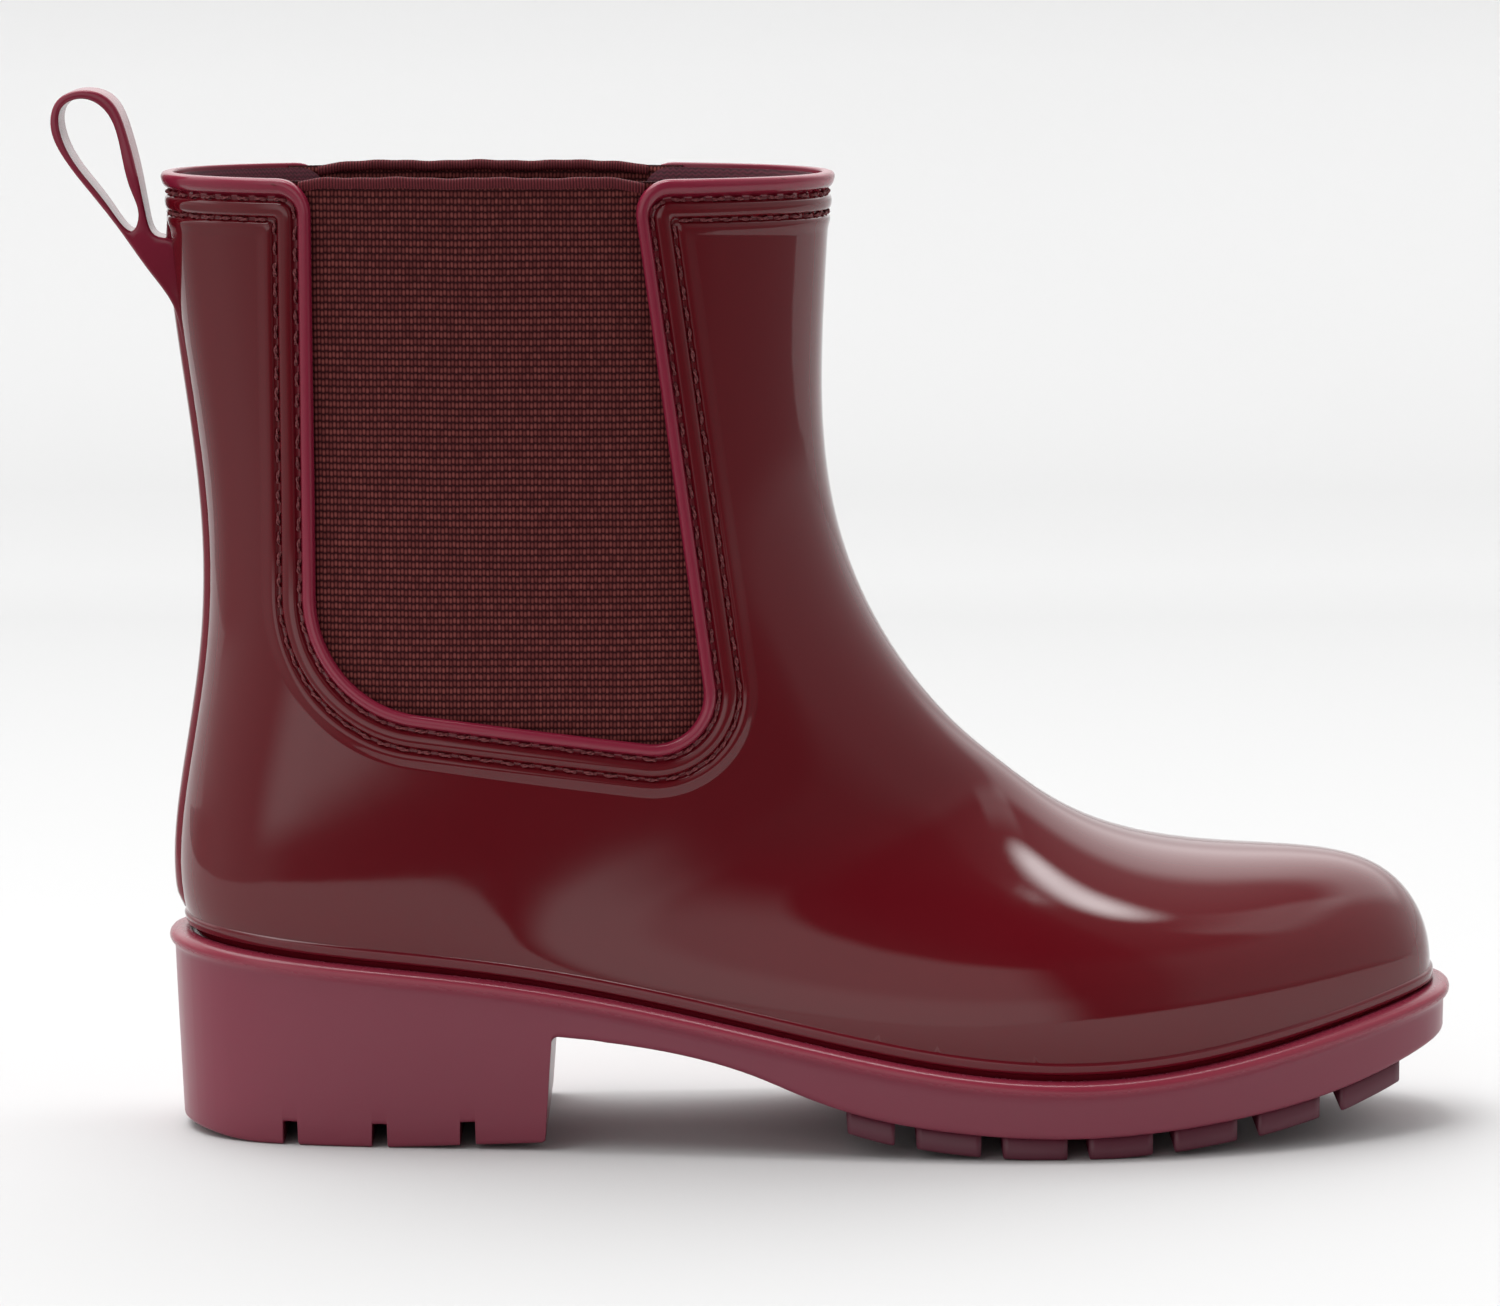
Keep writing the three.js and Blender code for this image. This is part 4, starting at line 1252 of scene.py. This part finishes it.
# ---------------------------------------------------------------- assembly
def claim(obj, node):
    """Hides the CAD's node that the piece draws, and hangs the piece on the boot's body so that it moves with the boot.
    """
    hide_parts(node)
    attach(obj, "boot")
    return obj


# the second colour of each moulding is its painted glow colour
burgundy = moulded("burgundy_pvc", srgb(95, 11, 21), srgb(140, 32, 58), 0.055, 0.22, 0.0004)
plum = moulded("plum_sole_rubber", srgb(123, 43, 62), srgb(146, 44, 64), 0.3, 0.24, 0.0002)
tread = moulded("plum_tread_rubber", srgb(88, 28, 46), srgb(88, 28, 46), 0.4, 0.4, 0.0002)
elastic = elastic_material()
hem = hem_material()
needle = thread("seam_thread", srgb(78, 24, 32), srgb(150, 80, 82))
bobbin = thread("bobbin_thread", srgb(52, 18, 26), srgb(112, 52, 58))
jersey = jersey_material()

claim(build_upper(burgundy), "upper_shell")
claim(build_back_strip(burgundy), "back_strip")

for side, word in ((-1, "lateral"), (1, "medial")):
    panel = claim(build_gusset(f"elastic_{word}", side, elastic), f"gusset_{word}")
    band = claim(build_hem(f"elastic_hem_{word}", side, hem), f"gusset_{word}")

lining = claim(build_lining(jersey), "lining")

# distance from the elastic, height over the upper's outer or inner side, seed
for name, away, level, inward, material, seed in (
    ("needle_inner", 3.15, -0.56, False, needle, 11),
    ("needle_outer", 7.45, -0.42, False, needle, 12),
    ("bobbin_inner", 3.15, 3.95, True, bobbin, 13),
    ("bobbin_outer", 7.45, 3.95, True, bobbin, 14),
):
    row = stitch_row(name, away, level, inward, material, seed)
    claim(row, name.replace("_", "_row_"))

claim(build_outsole(plum), "outsole")
claim(build_lugs(tread), "outsole")

foam = build_footbed("foam_footbed", 2.3, 3.9, -5.2, plain("grey_foam", srgb(70, 60, 62), 0.9, 1800.0))
claim(foam, "footbed_foam")
claim(build_footbed("sock_cover", 6.3, 0.9, -5.0, jersey, crown=1.2), "footbed_cover")

strap = build_loop(burgundy)
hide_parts("pull_loop")
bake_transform(strap)

for node, material in (
    ("insole_board", plain("fibre_board", srgb(176, 158, 132), 0.85, 900.0)),
    ("shank", plain("sprung_steel", srgb(150, 150, 152), 0.35, 300.0, 0.00003, 1.0)),
    ("heel_core", plain("heel_insert", srgb(120, 120, 118), 0.6, 500.0)),
):
    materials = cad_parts[node].data.materials
    materials.clear()
    materials.append(material)


# ---------------------------------------------------------------- stage, light and camera
# the paper's whiteness by distance behind the boot, in metres: painted light, uneven so that the unevenly lit paper
# looks evenly bright, whitest on the part that curves up behind
PAPER_PAINTED_LIGHT = [(0.2, 0.65), (0.9, 0.565), (1.15, 0.62), (1.39, 0.84)]
PAPER_SPAN = 2.0
# the paper's near edge in plan, just below the picture
PAPER_EDGE = [(-3.0, 0.97), (-0.8, 0.75), (-0.42, 0.0), (-0.25, -0.2), (-0.05, -0.29), (0.1, -0.35), (0.35, -0.34),
              (3.0, 0.9)]
BEND_AT, BEND_RADIUS, BEND_STEPS, BEND_END = 1.0, 0.5, 20, 60


def paper_material():
    g = Graph(bpy.data.materials.new("paper_sweep"))
    co = g.coords()
    behind = g.split(co)[1] / PAPER_SPAN + g.noise(co, 3.0, 2.0) * 0.02
    # painted light: the whiteness ramp makes up for the light that falls less on parts of the paper
    white = g.ramp(behind, [(at / PAPER_SPAN, (tone,) * 3) for at, tone in PAPER_PAINTED_LIGHT])
    return g.shade({"Base Color": white, "Roughness": 0.9, "Specular IOR Level": 0.05})


def build_sweep():
    """A pale paper table that curves up behind the boot."""
    points = [(x, y, 0.0) for x, y in PAPER_EDGE]
    for k in range(BEND_STEPS + 1):
        a = math.radians(BEND_END) * k / BEND_STEPS
        y, z = BEND_AT + BEND_RADIUS * math.sin(a), BEND_RADIUS * (1 - math.cos(a))
        points += [(x, y, z) for x, _ in PAPER_EDGE]
    width = len(PAPER_EDGE)
    corners = [i * width + j for i in range(BEND_STEPS + 1) for j in range(width - 1)]
    faces = [[a, a + 1, a + 1 + width, a + width] for a in corners]
    new_object("sweep", points, faces, paper_material())


# soft boxes round the boot: azimuth from the camera towards the right, from and to; elevation from and to;
# how soft each edge is; how far it leans per degree of rise; all in degrees, then its brightness
SOFT_BOXES = [
    (-46, 6, -7, 43, 7, 3, 0.2, 0.78),
    (-40, 9, -7, 14, 7, 5, 0.2, 0.3),
    (150, 300, 20, 54, 10, 5, 0.9, 0.9),
    (75, 112, 50, 67, 5, 6, 0.0, 0.8),
    (185, 325, 54, 100, 12, 8, 0.0, 4.0),
]
# round lamps: azimuth, rise, full within, none beyond, brightness
LAMPS = [(111, 78, 0.5, 7.5, 10.0), (0, 90, 2.0, 7.5, 19.0)]
# the room's own brightness by azimuth away from the camera's direction, in degrees
ROOM = [(0, 0.08), (14, 0.12), (30, 0.2), (42, 0.42), (75, 0.6), (105, 0.75), (135, 1.0), (180, 1.25)]
DIMMER = 0.45  # the share taken off high up, and below the horizon beside the table


def build_world():
    """A dim room with soft boxes, bright behind the boot and dark beside the camera."""
    world = bpy.data.worlds.new("studio")
    bpy.context.scene.world = world
    g = Graph(world)
    x, y, z = g.split(g.node("TexCoord", {}, "Generated"))
    turn = g.math("ARCTAN2", x, y * -1.0) * math.degrees(1)
    rise = g.math("ARCSINE", z) * math.degrees(1)

    def step(value, at, soft):
        sockets = {"Value": value, "From Min": at - soft, "From Max": at + soft}
        return g.node("MapRange", sockets, interpolation_type="SMOOTHSTEP")

    def within(value, low, high, soft):
        return step(value, low, soft) - step(value, high, soft)

    around = (turn + 360.0) % 360.0
    room = g.ramp(abs(turn) / 180.0, [(a / 180, (b, b, b)) for a, b in ROOM])
    high = 1.0 - step(rise, 52.0, 8.0) * DIMMER
    below = 1.0 - step(rise, -1.0, 2.5)
    beside = 1.0 - within(turn, -92.0, 20.0, 21.0)
    light = room * high * (1.0 - below * beside * DIMMER)
    for left, right, low, high, soft, crisp, lean, power in SOFT_BOXES:
        leaning = g.math("MULTIPLY_ADD", rise, lean, turn if left < 0 else around)
        light += within(leaning, left, right, soft) * within(rise, low, high, crisp) * power
    for azimuth, up, core, reach, power in LAMPS:
        at, up = math.radians(azimuth), math.radians(up)
        level = math.cos(up)
        toward = x * (math.sin(at) * level) + y * (-math.cos(at) * level) + z * math.sin(up)
        off = g.math("ARCCOSINE", toward) * math.degrees(1)
        light += (1.0 - step(off, (core + reach) / 2, (reach - core) / 2)) * power
    g.put(g.tree.nodes["Background"], {"Strength": light, "Color": (1, 1, 1, 1)})


build_sweep()
build_world()
bpy.context.scene.view_settings.view_transform = "Standard"

TILT = math.radians(7.4)
AIM_HEIGHT = 0.1017
DISTANCE = 1.44
camera_data = bpy.data.cameras.new("camera")
camera_data.sensor_width = 36
camera_data.lens = 162.6
camera = bpy.data.objects.new("camera", camera_data)
bpy.context.scene.collection.objects.link(camera)
camera.location = (SHIFT[0] / 1000, SHIFT[1] / 1000 - DISTANCE, AIM_HEIGHT + DISTANCE * math.tan(TILT))
camera.rotation_euler = (math.pi / 2 - TILT, 0, 0)
bpy.context.scene.camera = camera
